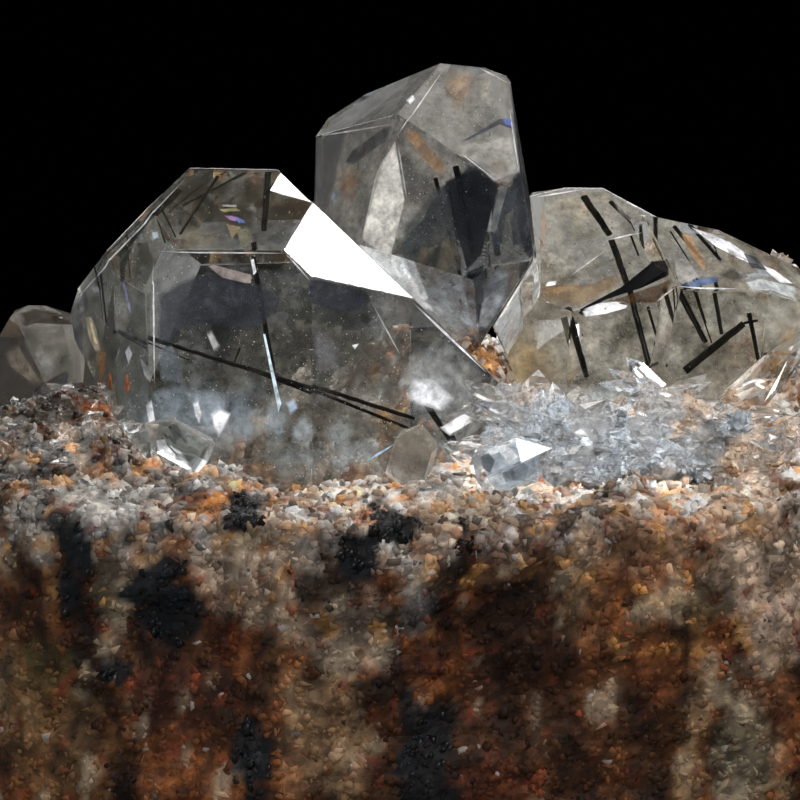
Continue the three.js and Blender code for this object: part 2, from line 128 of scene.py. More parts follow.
BEIGE = (0.46, 0.36, 0.26)
GREY = (0.36, 0.33, 0.29)
BROWN = (0.12, 0.052, 0.022)
DEEP = (0.016, 0.006, 0.003)
RED_BROWN = (0.17, 0.040, 0.014)
RUSTY = (0.36, 0.115, 0.035)
ORANGE = (0.60, 0.20, 0.045)
OLIVE = (0.20, 0.15, 0.055)
MICA = (0.005, 0.009, 0.013)
# Rust, dark rock and pale places on the front, and some painted shade, marked below.
STAINS_AND_PAINTED_SHADE = [  # centre x and z, half width and half height on the front in mm, colour and cover
    (22.8, 22.2, 6.5, 4.6, (0.50, 0.34, 0.22), 0.75),
    (14.0, 24.0, 4.5, 2.2, (0.50, 0.38, 0.28), 0.6),
    (10.4, 10.7, 7.2, 6.0, BROWN, 0.6),
    # painted shade: a shadowed hollow in the front
    (8.0, 19.0, 4.4, 5.2, DEEP, 0.9),
    (-26.2, 19.8, 1.5, 4.6, DEEP, 0.6),
    (-14.8, 13.4, 3.6, 4.2, (0.05, 0.014, 0.007), 0.8),
    (-11.6, 17.6, 1.3, 2.4, RED_BROWN, 0.8),
    (-9.0, 15.0, 1.2, 4.0, DEEP, 0.5),
    (-23.8, 9.6, 3.4, 5.0, (0.30, 0.17, 0.075), 0.65),
    (-24.0, 15.0, 2.0, 2.0, OLIVE, 0.5),
    (-4.8, 11.3, 3.4, 5.2, (0.36, 0.225, 0.12), 0.7),
    (-3.6, 18.4, 3.6, 3.0, (0.27, 0.21, 0.16), 0.7),
    (-6.9, 22.2, 1.8, 1.4, GREY, 0.8),
    (-8.0, 19.6, 2.2, 2.6, (0.30, 0.22, 0.15), 0.6),
    (-19.4, 20.6, 1.1, 3.8, (0.17, 0.14, 0.095), 0.8),
    (-23.9, 23.2, 1.2, 1.6, GREY, 0.8),
    (-12.0, 22.6, 2.0, 1.6, BEIGE, 0.6),
    (-12.4, 19.6, 0.7, 1.8, RED_BROWN, 0.7),
    (4.0, 25.4, 2.6, 1.4, BEIGE, 0.8),
    (1.1, 19.4, 1.3, 2.4, (0.27, 0.27, 0.26), 0.75),
    (16.0, 22.9, 3.0, 2.6, RUSTY, 0.75),
    (23.0, 23.6, 4.6, 3.6, BEIGE, 0.7),
    (20.6, 24.6, 1.8, 1.2, ORANGE, 0.5),
    (19.3, 21.6, 0.8, 1.4, ORANGE, 0.5),
    (24.6, 24.2, 1.2, 1.2, RED_BROWN, 0.6),
    (20.5, 19.6, 1.9, 1.5, OLIVE, 0.6),
    (24.7, 18.7, 2.6, 3.2, (0.46, 0.35, 0.28), 0.8),
    (24.4, 13.6, 1.8, 1.8, RED_BROWN, 0.6),
    (17.3, 16.6, 1.5, 1.2, RUSTY, 0.7),
    (23.6, 9.2, 2.8, 4.4, (0.36, 0.31, 0.21), 0.75),
    (2.9, 14.2, 1.1, 1.1, ORANGE, 0.75),
    (2.4, 16.0, 1.2, 1.6, RED_BROWN, 0.6),
    (6.0, 7.4, 2.8, 1.9, (0.20, 0.05, 0.022), 0.7),
    (19.2, 15.3, 0.35, 5.0, DEEP, 0.7),
    (-13.2, 26.0, 2.3, 0.8, ORANGE, 0.7),
    (-10.4, 24.0, 0.9, 1.0, (0.22, 0.16, 0.03), 0.75),
    (-21.5, 26.0, 6.0, 1.5, (0.80, 0.76, 0.70), 0.6),
    (-9.9, 21.4, 3.6, 3.2, (0.66, 0.50, 0.37), 0.7),
    (7.0, 22.8, 6.4, 2.3, (0.17, 0.085, 0.045), 0.75),
    (17.6, 23.2, 4.0, 2.2, (0.66, 0.38, 0.22), 0.6),
    (24.6, 23.6, 3.4, 4.0, (0.78, 0.58, 0.44), 0.6),
    # painted shade: these two make the front darker low down in its middle, where less light reaches
    (6.8, 9.0, 7.4, 9.4, (0.045, 0.013, 0.004), 0.5),
    (-10.6, 10.4, 2.6, 4.6, (0.040, 0.016, 0.008), 0.5),
]
MICA_NESTS = [
    (-21.5, 23.5, 1.5, 1.6, MICA, 0.97),
    (-22.3, 20.6, 0.7, 1.8, MICA, 0.95),
    (-23.4, 25.2, 1.3, 0.5, MICA, 0.9),
    (-16.2, 20.6, 1.9, 2.6, MICA, 0.97),
    (-15.0, 18.8, 1.7, 2.0, MICA, 0.97),
    (-2.9, 23.2, 1.6, 1.8, MICA, 0.97),
    (-0.7, 24.9, 1.5, 1.1, MICA, 0.97),
    (-5.1, 20.9, 1.6, 1.0, DEEP, 0.85),
    (-10.7, 25.7, 1.2, 0.9, MICA, 0.97),
    (-9.8, 9.7, 1.4, 2.2, MICA, 0.95),
    (-19.1, 14.9, 0.9, 0.7, MICA, 0.9),
    (4.3, 24.0, 0.5, 1.5, DEEP, 0.95),
    (3.8, 22.4, 0.9, 0.8, DEEP, 0.9),
    (1.7, 9.0, 1.9, 4.4, MICA, 0.92),
]
TOP_PATCHES = [  # centre, reach and colour of rusty, pale and dark places on top, in mm
    ((6.2, 4.0, 34.0), 2.4, (0.34, 0.16, 0.05)),
    ((6.2, 4.5, 37.2), 2.2, (0.80, 0.83, 0.88)),
    ((-23.5, -7.0, 33.2), 6.2, (0.045, 0.032, 0.021)),
    ((-20.8, -8.0, 31.6), 1.5, (0.26, 0.075, 0.018)),
    ((-22.4, -9.0, 30.2), 1.2, (0.17, 0.06, 0.018)),
    ((-27.6, -6.0, 30.2), 1.5, (0.36, 0.37, 0.36)),
    ((25.0, -10.0, 28.6), 3.0, (0.52, 0.33, 0.19)),
    ((-12.0, -17.5, 27.0), 1.6, (0.45, 0.17, 0.05)),
]


def select_only(thing):
    bpy.ops.object.select_all(action="DESELECT")
    bpy.context.view_layer.objects.active = thing
    thing.select_set(True)


def apply_modifiers(thing):
    select_only(thing)
    for modifier in list(thing.modifiers):
        bpy.ops.object.modifier_apply(modifier=modifier.name)


def merged_copy(node, name):
    """A copy of a solid with its triangles joined at their corners."""
    thing = bpy.data.objects.new(name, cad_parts[node].data.copy())
    thing.data.name = name
    thing.data.materials.clear()
    bpy.context.collection.objects.link(thing)
    select_only(thing)
    bpy.ops.object.mode_set(mode="EDIT")
    bpy.ops.mesh.select_all(action="SELECT")
    bpy.ops.mesh.remove_doubles(threshold=1e-6)
    bpy.ops.object.mode_set(mode="OBJECT")
    return thing


def relief(thing, kind, size, strength):
    """Lumps of one size, pushed out and in along the surface's normals. Clouds have finer lumps on them."""
    pattern = bpy.data.textures.new(thing.name + "_" + kind.lower(), kind)
    pattern.noise_scale = size * MM
    if kind == "CLOUDS":
        pattern.noise_depth = 3
    push = thing.modifiers.new("relief", "DISPLACE")
    push.texture = pattern
    push.texture_coords = "LOCAL"
    push.strength = strength * MM
    push.mid_level = 0.5


def cloud(points, size, shift, squash=1.0):
    """Soft noise from about -1 to 1 at each point, in lumps of a size in mm.

    The shift moves the pattern, so that two of one size differ. A squash below 1 makes the lumps tall.
    """
    scaled = points / (size * MM) + shift
    scaled[:, 2] *= squash
    return np.array([noise.noise(Vector(p)) for p in scaled])


def mix(colours, other, amount):
    return colours + (np.array(other) - colours) * amount[:, None]


# Stains, nests and painted shade are laid on the front only.
PATCHED_FRONT = -9 * MM  # the stains lie on what is nearer than this


def with_patches(points, colours, stains, sharpness):
    """The colours with some patches on the front, stains and painted shade, each with a wandering edge."""
    x, z = points[:, 0] / MM, points[:, 2] / MM
    wobble = 0.5 * cloud(points, 2.4, 4.0) + 0.35 * cloud(points, 0.9, 6.0)
    front = points[:, 1] < PATCHED_FRONT
    for cx, cz, half_wide, half_tall, colour, cover in stains:
        away = np.hypot((x - cx) / half_wide, (z - cz) / half_tall)
        colours = mix(colours, colour, cover * front * np.clip(sharpness * (1.15 + wobble - away), 0, 1))
    return colours


def crown_of(points):
    """How much each point belongs to the pale crown of the rock, from 0 to 1."""
    edge = 22.6 + 2.4 * cloud(points, 9.0, 21.0, 0.5) + 1.4 * cloud(points, 1.3, 31.0, 0.7)
    return np.clip((points[:, 2] / MM - edge) / 2.4, 0, 1)


WALL_TONES = [  # the wall's colours from its darkest streaks to its palest
    (0.0, DEEP), (0.35, (0.055, 0.018, 0.005)), (0.65, (0.155, 0.066, 0.022)), (1.0, (0.39, 0.245, 0.13)),
]


def rock_colours(points):
    """The rock's colour at each point: pale above, brown and streaked down the walls, with its nests."""
    streak = cloud(points, 3.0, 11.0, 0.22)
    drip = cloud(points, 1.2, 51.0, 0.35)
    broad = cloud(points, 9.0, 21.0, 0.5)
    fine = cloud(points, 1.3, 31.0, 0.7)
    level = np.clip(0.44 + 0.8 * streak + 0.5 * broad + 0.4 * drip, 0, 1)
    stops = [place for place, _ in WALL_TONES]
    parts = [np.interp(level, stops, [tone[k] for _, tone in WALL_TONES]) for k in range(3)]
    colours = np.stack(parts, axis=1)
    colours = mix(colours, RUSTY, np.clip(2.4 * cloud(points, 3.4, 71.0, 0.4) * (0.5 + level), 0, 0.6))
    crown = crown_of(points)
    colours = mix(colours, (0.68, 0.56, 0.46), 0.92 * crown)
    colours = mix(colours, (0.62, 0.26, 0.08), crown * np.clip(3.0 * fine - 0.5, 0, 0.85))
    colours = mix(colours, (0.93, 0.92, 0.90), crown * np.clip(-3.6 * fine - 0.1, 0, 0.95))
    colours = mix(colours, (0.20, 0.13, 0.08), crown * np.clip(3 * drip - 0.5, 0, 0.8))
    shaded = np.clip((-points[:, 0] / MM - 6) / 13, 0, 1) * crown  # darker towards the left
    colours = colours * (1 - (0.6 - 0.25 * np.clip(3 * fine, -1, 1)) * shaded)[:, None]
    for centre, reach, colour in TOP_PATCHES:
        away = np.linalg.norm(points / MM - np.array(centre), axis=1) / reach
        colours = mix(colours, colour, 0.93 * np.clip(2 * (1.1 + 0.5 * fine - away), 0, 1))
    colours = with_patches(points, colours, STAINS_AND_PAINTED_SHADE, 2)
    blotch = cloud(points, 2.0, 81.0, 0.6)
    patch = cloud(points, 0.85, 91.0, 0.8)
    golden = (points[:, 2] > 16 * MM) * np.clip(3.4 * cloud(points, 1.5, 101.0, 0.8) - 0.7, 0, 0.7)
    colours = mix(colours, (0.55, 0.27, 0.08), golden * (colours.sum(axis=1) > 0.25))
    reddish = np.clip(3.4 * cloud(points, 1.1, 111.0, 0.8) - 1.1, 0, 0.75)
    colours = mix(colours, (0.24, 0.055, 0.022), reddish)
    pale = (1 - crown) * np.clip(3.2 * blotch - 0.9, 0, 0.6) * (colours.sum(axis=1) > 0.09)
    colours = mix(colours, (0.33, 0.27, 0.19), pale)
    colours = with_patches(points, colours, MICA_NESTS, 5)
    return colours * np.clip(1 + 1.1 * blotch + 0.9 * patch, 0.3, 2)[:, None]


def paint(thing, colours, shine=1.0):
    """Keeps a colour for each point of the mesh, and in its fourth part how shiny or how covering it is."""
    layer = thing.data.color_attributes.new("tint", "FLOAT_COLOR", "POINT")
    values = np.ones((len(thing.data.vertices), 4), np.float32)
    values[:, :3] = np.clip(colours, 0, 1)
    values[:, 3] = shine
    layer.data.foreach_set("color", values.ravel())


def points_of(thing):
    values = np.zeros(3 * len(thing.data.vertices))
    thing.data.vertices.foreach_get("co", values)
    return values.reshape(-1, 3)


def new_node(tree, kind, **settings):
    """A node, with its settings and inputs given by name. A group's tree comes before its inputs."""
    node = tree.nodes.new(kind)
    for key, value in settings.items():
        if key in node.inputs:
            node.inputs[key].default_value = value
        else:
            setattr(node, key, value)
    return node


def speckle_group():
    """Small uneven dots, lighter and darker, and the relief that goes with them."""
    group = bpy.data.node_groups.new("mineral_speckle", "ShaderNodeTree")
    for name, way, kind in (
        ("Colour", "INPUT", "Color"), ("Scale", "INPUT", "Float"), ("Contrast", "INPUT", "Float"),
        ("Colour", "OUTPUT", "Color"), ("Height", "OUTPUT", "Float"),
    ):
        group.interface.new_socket(name=name, in_out=way, socket_type="NodeSocket" + kind)
    given = group.nodes.new("NodeGroupInput")
    out = group.nodes.new("NodeGroupOutput")
    place = group.nodes.new("ShaderNodeTexCoord")
    grit = new_node(group, "ShaderNodeTexNoise", Detail=5.0, Roughness=0.7)
    spread = new_node(group, "ShaderNodeMapRange")
    spread.inputs["From Min"].default_value = 0.3
    spread.inputs["From Max"].default_value = 0.7
    darkest = new_node(group, "ShaderNodeMath", operation="SUBTRACT")
    darkest.inputs[0].default_value = 1
    lightest = new_node(group, "ShaderNodeMath", operation="ADD")
    lightest.inputs[0].default_value = 1
    shade = new_node(group, "ShaderNodeVectorMath", operation="SCALE")
    link = group.links.new
    link(place.outputs["Object"], grit.inputs["Vector"])
    link(given.outputs["Scale"], grit.inputs["Scale"])
    link(given.outputs["Contrast"], darkest.inputs[1])
    link(given.outputs["Contrast"], lightest.inputs[1])
    link(grit.outputs["Fac"], spread.inputs["Value"])
    link(darkest.outputs[0], spread.inputs["To Min"])
    link(lightest.outputs[0], spread.inputs["To Max"])
    link(given.outputs["Colour"], shade.inputs[0])
    link(spread.outputs[0], shade.inputs["Scale"])
    link(shade.outputs[0], out.inputs["Colour"])
    link(grit.outputs["Fac"], out.inputs["Height"])
    return group


speckle = speckle_group()


def grain_material(name, roughness, scale, contrast, bump):
    """Mineral in the colours of the tint, with dots and fine relief. It is dull where the shine is low."""
    material, tree, shader = new_material(name)
    shader.inputs["IOR"].default_value = 1.54
    shader.inputs["Specular IOR Level"].default_value = 0.22
    tint = new_node(tree, "ShaderNodeVertexColor", layer_name="tint")
    dull = new_node(tree, "ShaderNodeMapRange")
    dull.inputs["To Min"].default_value = min(1, roughness + 0.35)
    dull.inputs["To Max"].default_value = roughness
    tree.links.new(tint.outputs["Alpha"], dull.inputs["Value"])
    tree.links.new(dull.outputs[0], shader.inputs["Roughness"])
    dots = new_node(tree, "ShaderNodeGroup", node_tree=speckle, Scale=scale, Contrast=contrast)
    rise = new_node(tree, "ShaderNodeBump", Strength=bump, Distance=0.1 * MM)
    tree.links.new(tint.outputs["Color"], dots.inputs["Colour"])
    tree.links.new(dots.outputs["Colour"], shader.inputs["Base Color"])
    tree.links.new(dots.outputs["Height"], rise.inputs["Height"])
    tree.links.new(rise.outputs["Normal"], shader.inputs["Normal"])
    return material


def crumbs(material, size, contrast):
    """Lays a pattern of crumbs over a grain material: each cell is lighter or darker than the next."""
    tree = material.node_tree
    tint = next(node for node in tree.nodes if node.type == "VERTEX_COLOR")
    dots = next(node for node in tree.nodes if node.type == "GROUP")
    place = tree.nodes.new("ShaderNodeTexCoord")
    cells = new_node(tree, "ShaderNodeTexVoronoi", Scale=1 / (size * MM))
    shade = new_node(tree, "ShaderNodeMapRange")
    shade.inputs["To Min"].default_value = 1 - contrast
    shade.inputs["To Max"].default_value = 1 + contrast
    apart = tree.nodes.new("ShaderNodeSeparateColor")
    toned = new_node(tree, "ShaderNodeVectorMath", operation="SCALE")
    tree.links.new(place.outputs["Object"], cells.inputs["Vector"])
    tree.links.new(cells.outputs["Color"], apart.inputs["Color"])
    tree.links.new(apart.outputs[0], shade.inputs["Value"])
    tree.links.new(tint.outputs["Color"], toned.inputs[0])
    tree.links.new(shade.outputs[0], toned.inputs["Scale"])
    tree.links.new(toned.outputs[0], dots.inputs["Colour"])


FLAT_BELOW = 0.35 * MM  # what is lower than this belongs to the flat cut
rock = merged_copy("matrix_rock", "rock_bed")
finer = rock.modifiers.new("finer", "REMESH")
finer.mode = "VOXEL"
finer.voxel_size = 0.5 * MM
relief(rock, "CLOUDS", 1.6, 0.5)
relief(rock, "VORONOI", 0.9, -0.35)
apply_modifiers(rock)
bed_points = points_of(rock)
bed_points[bed_points[:, 2] < FLAT_BELOW, 2] = 0
rock.data.vertices.foreach_set("co", bed_points.ravel())
paint(rock, 0.8 * rock_colours(bed_points))
cement = grain_material("rock_cement", 0.6, 2200, 0.3, 0.6)
crumbs(cement, 0.7, 0.4)
rock.data.materials.append(cement)
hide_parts("matrix_rock")
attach(rock, "root")

GRAIN_SHAPES = 12
GRAIN_CORNERS = 9
GRAIN_SIZES = (0.26, 0.64)  # smallest and largest half width, in mm


def grain_shapes(draw):
    """Blocky grains: each is the hull round a few scattered points. Returns their corners and sides."""
    shapes = []
    for _ in range(GRAIN_SHAPES):
        grain = bmesh.new()
        q = draw.normal(size=(GRAIN_CORNERS, 3))
        q = q / np.linalg.norm(q, axis=1)[:, None] * draw.uniform(0.85, 1.15, (GRAIN_CORNERS, 1))
        for point in q:
            grain.verts.new(point)
        bmesh.ops.convex_hull(grain, input=grain.verts)
        loose = [v for v in grain.verts if not v.link_faces]
        bmesh.ops.delete(grain, geom=loose, context="VERTS")
        bmesh.ops.triangulate(grain, faces=grain.faces)
        bmesh.ops.recalc_face_normals(grain, faces=grain.faces)
        grain.verts.index_update()
        corners = np.array([v.co for v in grain.verts])
        shapes.append((corners, np.array([[v.index for v in side.verts] for side in grain.faces])))
        grain.free()
    return shapes


def turns(draw, count):
    """Random turns as an array of matrices."""
    q = draw.normal(size=(count, 4))
    q /= np.linalg.norm(q, axis=1)[:, None]
    w, x, y, z = q.T
    return np.array([
        [1 - 2 * (y * y + z * z), 2 * (x * y - z * w), 2 * (x * z + y * w)],
        [2 * (x * y + z * w), 1 - 2 * (x * x + z * z), 2 * (y * z - x * w)],
        [2 * (x * z - y * w), 2 * (y * z + x * w), 1 - 2 * (x * x + y * y)],
    ]).transpose(2, 0, 1)


def new_thing(name, points, sides):
    mesh = bpy.data.meshes.new(name)
    mesh.from_pydata(points, [], sides)
    thing = bpy.data.objects.new(name, mesh)
    bpy.context.collection.objects.link(thing)
    return thing


def mesh_of_copies(name, shape_sets, places, spins, sizes):
    """One mesh of many copies of a few shapes. Returns it and the number of the copy of each point."""
    points, faces, owner, start = [], [], [], 0
    for k, (corners, sides) in enumerate(shape_sets):
        chosen = np.arange(k, len(places), len(shape_sets))
        grown = np.einsum("nij,kj->nki", spins[chosen], corners) * sizes[chosen][:, None, :]
        placed = grown + places[chosen][:, None, :]
        offsets = start + len(corners) * np.arange(len(chosen))
        faces.append((sides[None] + offsets[:, None, None]).reshape(-1, sides.shape[1]))
        points.append(placed.reshape(-1, 3))
        owner.append(np.repeat(chosen, len(corners)))
        start += len(corners) * len(chosen)
    thing = new_thing(name, np.concatenate(points), np.concatenate(faces).tolist())
    return thing, np.concatenate(owner)


def scattered(thing, draw, count, wanted):
    """Random places on a mesh where wanted(places, normals) is true, with the normals there."""
    thing.data.calc_loop_triangles()
    corners = np.zeros(3 * len(thing.data.loop_triangles), np.int32)
    thing.data.loop_triangles.foreach_get("vertices", corners)
    a, b, c = points_of(thing)[corners.reshape(-1, 3)].transpose(1, 0, 2)
    cross = np.cross(b - a, c - a)
    area = np.linalg.norm(cross, axis=1)
    middle = (a + b + c) / 3
    normals = cross / np.maximum(area, 1e-12)[:, None]
    area = area * wanted(middle, normals)
    picked = draw.choice(len(area), count, p=area / area.sum())
    u, v = draw.uniform(size=(2, count))
    over = u + v > 1
    u[over], v[over] = 1 - u[over], 1 - v[over]
    places = a[picked] + u[:, None] * (b - a)[picked] + v[:, None] * (c - a)[picked]
    return places, normals[picked]


def set_grains(name, count, wanted, seed):
    """A skin of grains over part of the rock, each a little lighter or darker than its neighbours."""
    draw = np.random.default_rng(seed)
    shapes = grain_shapes(draw)
    places, normals = scattered(rock, draw, count, wanted)
    size = draw.uniform(*GRAIN_SIZES, (count, 1)) * draw.uniform(0.8, 1.15, (count, 3)) * MM
    sunk = 0.62 - 0.25 * crown_of(places)  # in half widths of the grain
    places = places - sunk[:, None] * normals * size.mean(axis=1)[:, None]
    places[:, 2] = np.maximum(places[:, 2], GRAIN_SIZES[1] * MM * 1.3)  # none reaches below the cut
    grains, owner = mesh_of_copies(name, shapes, places, turns(draw, count), size)
    crown = crown_of(places)[:, None]
    colours = rock_colours(places) * (1 + (0.22 + 0.36 * crown) * draw.uniform(-1, 1, (count, 1)))
    clustered = 0.05 * np.clip(4 * cloud(places, 3.5, 95.0), 0, 3)
    milky = (draw.uniform(size=count) < clustered + 0.15 * crown[:, 0]) & (colours.sum(axis=1) > 0.12)
    colours[milky] = 0.5 * colours[milky] + 0.5 * np.array((0.62, 0.60, 0.57))
    dark = draw.uniform(size=count) < 0.05 + 0.05 * crown[:, 0]
    colours[dark] *= 0.3
    glinting = (colours.sum(axis=1) < 0.06) & (colours[:, 2] > colours[:, 0])
    paint(grains, colours[owner], np.maximum(crown[:, 0], glinting)[owner])
    grains.data.shade_smooth()
    return grains


glossy_grains = grain_material("grains", 0.3, 3000, 0.25, 0.3)
GRAINS_FROM = 0.7 * MM  # the walls have grains above this height


def front_side(p, n):
    return (n[:, 1] < -0.35) & (p[:, 2] > GRAINS_FROM)


def top_side(p, n):
    return (n[:, 1] >= -0.35) & (n[:, 2] > 0.55)


def other_sides(p, n):
    return (n[:, 1] >= -0.35) & (n[:, 2] <= 0.55) & (n[:, 2] > -0.7) & (p[:, 2] > GRAINS_FROM)


for name, count, wanted, seed in (
    ("grains_of_the_front", 12500, front_side, 11),
    ("grains_of_the_top", 8500, top_side, 12),
    ("grains_of_the_sides", 9500, other_sides, 13),
):
    grains = set_grains(name, count, wanted, seed)
    grains.data.materials.append(glossy_grains)
    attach(grains, "root")


# ---- The large clear crystals
# Quartz, clear with a breath of smoke, with natural flat faces. Each is one crystal that closed over
# its needles as it grew, so its two halves become one whole mesh here, with no seam and no pockets.
# They grew on the rock and through each other.

QUARTZ_IOR = 1.544
FACET_EDGE = 0.045 * MM  # the width of the worn edge between two faces


def clear_material(name, absorbed, density, roughness, bump):
    """Clear crystal. What it absorbs is its colour in depth, and faint growth lines mark its faces."""
    material, tree, shader = new_material(name)
    shader.inputs["Base Color"].default_value = (1, 1, 1, 1)
    shader.inputs["Roughness"].default_value = roughness
    shader.inputs["IOR"].default_value = QUARTZ_IOR
    shader.inputs["Transmission Weight"].default_value = 1
    smoke = new_node(tree, "ShaderNodeVolumeAbsorption", Density=density)
    smoke.inputs["Color"].default_value = (*absorbed, 1)
    place = tree.nodes.new("ShaderNodeTexCoord")
    stretch = new_node(tree, "ShaderNodeMapping")
    stretch.inputs["Scale"].default_value = (0.5, 0.5, 2.4)
    lines = new_node(tree, "ShaderNodeTexNoise", Scale=700.0, Detail=3.0, Roughness=0.6)
    rise = new_node(tree, "ShaderNodeBump", Strength=bump, Distance=0.03 * MM)
    link = tree.links.new
    link(place.outputs["Object"], stretch.inputs["Vector"])
    link(stretch.outputs["Vector"], lines.inputs["Vector"])
    link(lines.outputs["Fac"], rise.inputs["Height"])
    link(rise.outputs["Normal"], shader.inputs["Normal"])
    link(smoke.outputs["Volume"], tree.nodes["Material Output"].inputs["Volume"])
    return material


def outward_of(turn, lean):
    """The direction in which a face looks: a compass turn (0 the front, 90 the right) and a lean up."""
    t, up = math.radians(turn), math.radians(lean)
    return np.array((math.cos(up) * math.sin(t), -math.cos(up) * math.cos(t), math.sin(up)))


def cut_faces(crystal, faces):
    """Cuts a block down by a crystal's natural faces, each given by its turn, its lean and a point in mm."""
    select_only(crystal)
    bpy.ops.object.mode_set(mode="EDIT")
    for turn, lean, x, y, z in faces:
        place = (x * MM, y * MM, z * MM)
        outward = tuple(outward_of(turn, lean))
        bpy.ops.mesh.select_all(action="SELECT")
        bpy.ops.mesh.bisect(
            plane_co=place, plane_no=outward, use_fill=True, clear_outer=True, threshold=1e-7
        )
    bpy.ops.object.mode_set(mode="OBJECT")


def crystal_block(name, faces):
    """A crystal cut from a block that is larger than the specimen."""
    bpy.ops.object.select_all(action="DESELECT")
    bpy.ops.mesh.primitive_cube_add(size=120 * MM, location=(0, 0, 36 * MM))
    bpy.ops.object.transform_apply(location=True, rotation=True, scale=True)
    crystal = bpy.context.object
    crystal.name = name
    crystal.data.name = name
    cut_faces(crystal, faces)
    return crystal


def cut_or_join(crystal, other, operation):
    """Takes another solid away from a crystal, or grows it on."""
    change = crystal.modifiers.new("grown_together", "BOOLEAN")
    change.object = other
    change.operation = operation
    change.solver = "EXACT"
    apply_modifiers(crystal)
    bpy.data.objects.remove(other)


def wear_edges(crystal):
    edge = crystal.modifiers.new("worn_edges", "BEVEL")
    edge.width = FACET_EDGE
    edge.limit_method = "ANGLE"
    edge.angle_limit = math.radians(5)
    apply_modifiers(crystal)


FOOT = (0, -90, 0, 0, 24.5)
MIRROR_FACET = (20.5, 30, -7.9, -11.4, 42.75)  # the bright facet of the left crystal
LEFT_FACES = [
    (-5, 7, -10, -12.3, 34), (14.5, 7, -6, -12.65, 34), (-5, 42, -12, -11.05, 42.8), MIRROR_FACET,
    (-34, 23, -15.3, -10.8, 42.8), (-42, 4, -17.2, -11.67, 34), (-62, 2, -19.6, -9.5, 34),
    (-95, 22, -22.7, -4, 39.4), (-93, -12, -23.1, -4, 36.7), (-95, -38, -20.4, -5, 32.5),
    (-97, 44, -17.8, -6, 44.85), (170, 78, -12, -6.6, 48.2), (97, 50, -7, -6, 46.9),
    (98, 45.5, 0.84, -10.2, 39.5), (96, 38, 6.2, -8, 34.2), (92, 0, 7.8, -8, 32), (90, -40, 7.8, -8, 30.9),
    (50, -20, 4, -10.5, 30.5), (176, -5, -8, 2.2, 36), (138, -4, 2.6, -1, 36), (-150, 10, -17, 1.5, 38),
    (178, 42, -10, 0.6, 43), FOOT,
]
LEFT_STEP = [(200.5, -30, -8.9, -7.8, 46.6), (290, -74, -7.8, -7.5, 46.3)]  # the far sides of a growth step
CENTRE_FACES = [
    (10, 45, -0.2, 4.2, 51.5), (-65, 52.5, -0.2, 4.2, 51.5), (-52, 12.8, -0.2, 4.2, 51.5),
    (-22, 6.5, 2.5, 2.5, 46.5), (26, 2.6, 6.7, 0.85, 46.8), (85, 10, 8.2, 5, 51.1), (95, 70, 6.6, 8, 54.5),
    (98, -26, 9.9, 3, 42.5), (30, -36, 5.5, 1.4, 39), (-35, -38, 2, 3.2, 39.5), (175, 58, 4, 8.3, 54.95),
    (178, -4, 2, 14.5, 44), (128, 4, 8, 9, 44), (-118, -8, -6.2, 11, 49.4), (-160, 35, -4, 13, 51.5),
    (180, -40, 2, 12, 37), (0, -90, 0, 0, 34),
]
NEAR_FRONT = [(0, 48, 14, -7, 38.2), (-22, 2, 11.9, -7, 38.2), (11, 0, 11.9, -7, 38.2)]
RIGHT_NEAR_FACES = [
    (41, 7, 17.9, -5.8, 38.7), (-95, -10, 8.6, 5, 51.1), (178, 72, 13, 1.8, 46.4), (-80, 78, 12, 0, 46.3),
    (96, 61, 16.5, 0, 45.3), (80, 10, 19.5, 0, 42), (178, -3, 14, 9, 38),
]
RIGHT_SPUR_FACES = [
    (-75, 38, 9.4, -5, 38.9), (-88, 4, 8.3, -4, 34), (176, 30, 11, 2, 37), (80, 0, 14, 0, 34),
]
RIGHT_LOW_FACES = [  # under the overhang of the centre crystal
    (-82, 26, 9.97, 3.01, 42.47), (210, 36, 5.53, 1.36, 38.96), (-88, -20, 7.4, -4, 35), (80, 0, 14, 0, 34),
    (178, -3, 14, 9, 38),
]
RIGHT_FAR_FACES = [
    (6, 50, 22, -7.2, 39.7), (60, 52, 24.6, -3, 41.9), (3, 1, 22, -7.2, 39.7), (36, -2, 26, -6.6, 38),
    (-40, 60, 19, -3.2, 44.6), (-60, 10, 17.5, -4, 40), (150, 62, 21.6, -2.2, 43.7), (85, 12, 28.8, -2, 38),
    (62, -44, 27.4, -5, 36.1), (178, -2, 22, 5.5, 38), (135, 10, 27, 3, 38),
]

left_crystal = crystal_block("left_quartz", LEFT_FACES)
cut_or_join(left_crystal, crystal_block("growth_step", LEFT_STEP), "DIFFERENCE")
centre_crystal = crystal_block("centre_quartz", CENTRE_FACES)
right_crystals = crystal_block("right_quartz", RIGHT_NEAR_FACES)
cut_or_join(right_crystals, crystal_block("spur", RIGHT_SPUR_FACES), "UNION")
cut_or_join(right_crystals, crystal_block("low_one", RIGHT_LOW_FACES), "UNION")
cut_faces(right_crystals, NEAR_FRONT)
cut_or_join(right_crystals, crystal_block("far_one", RIGHT_FAR_FACES), "UNION")
cut_faces(right_crystals, [FOOT])

clear_quartz = clear_material("clear_quartz", (0.81, 0.82, 0.81), 75, 0.0, 0.12)
for crystal, side in ((left_crystal, "left"), (centre_crystal, "centre"), (right_crystals, "right")):
    wear_edges(crystal)
    crystal.data.materials.clear()
    crystal.data.materials.append(clear_quartz)
    crystal.visible_shadow = False
    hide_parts(side + "_quartz_front_half", side + "_quartz_back_half")
    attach(crystal, "root")


# ---- The clouds inside the large crystals
# Milky veils: sheets of tiny bubbles and healed cracks that the crystals grew over. They catch the light as
# soft grey and brown haze behind the needles, with white, rusty and dark places, and small specks. The
# brightest white places and the dark blue-grey ones are painted light and shade: inner reflections, and the
# dark room seen through.

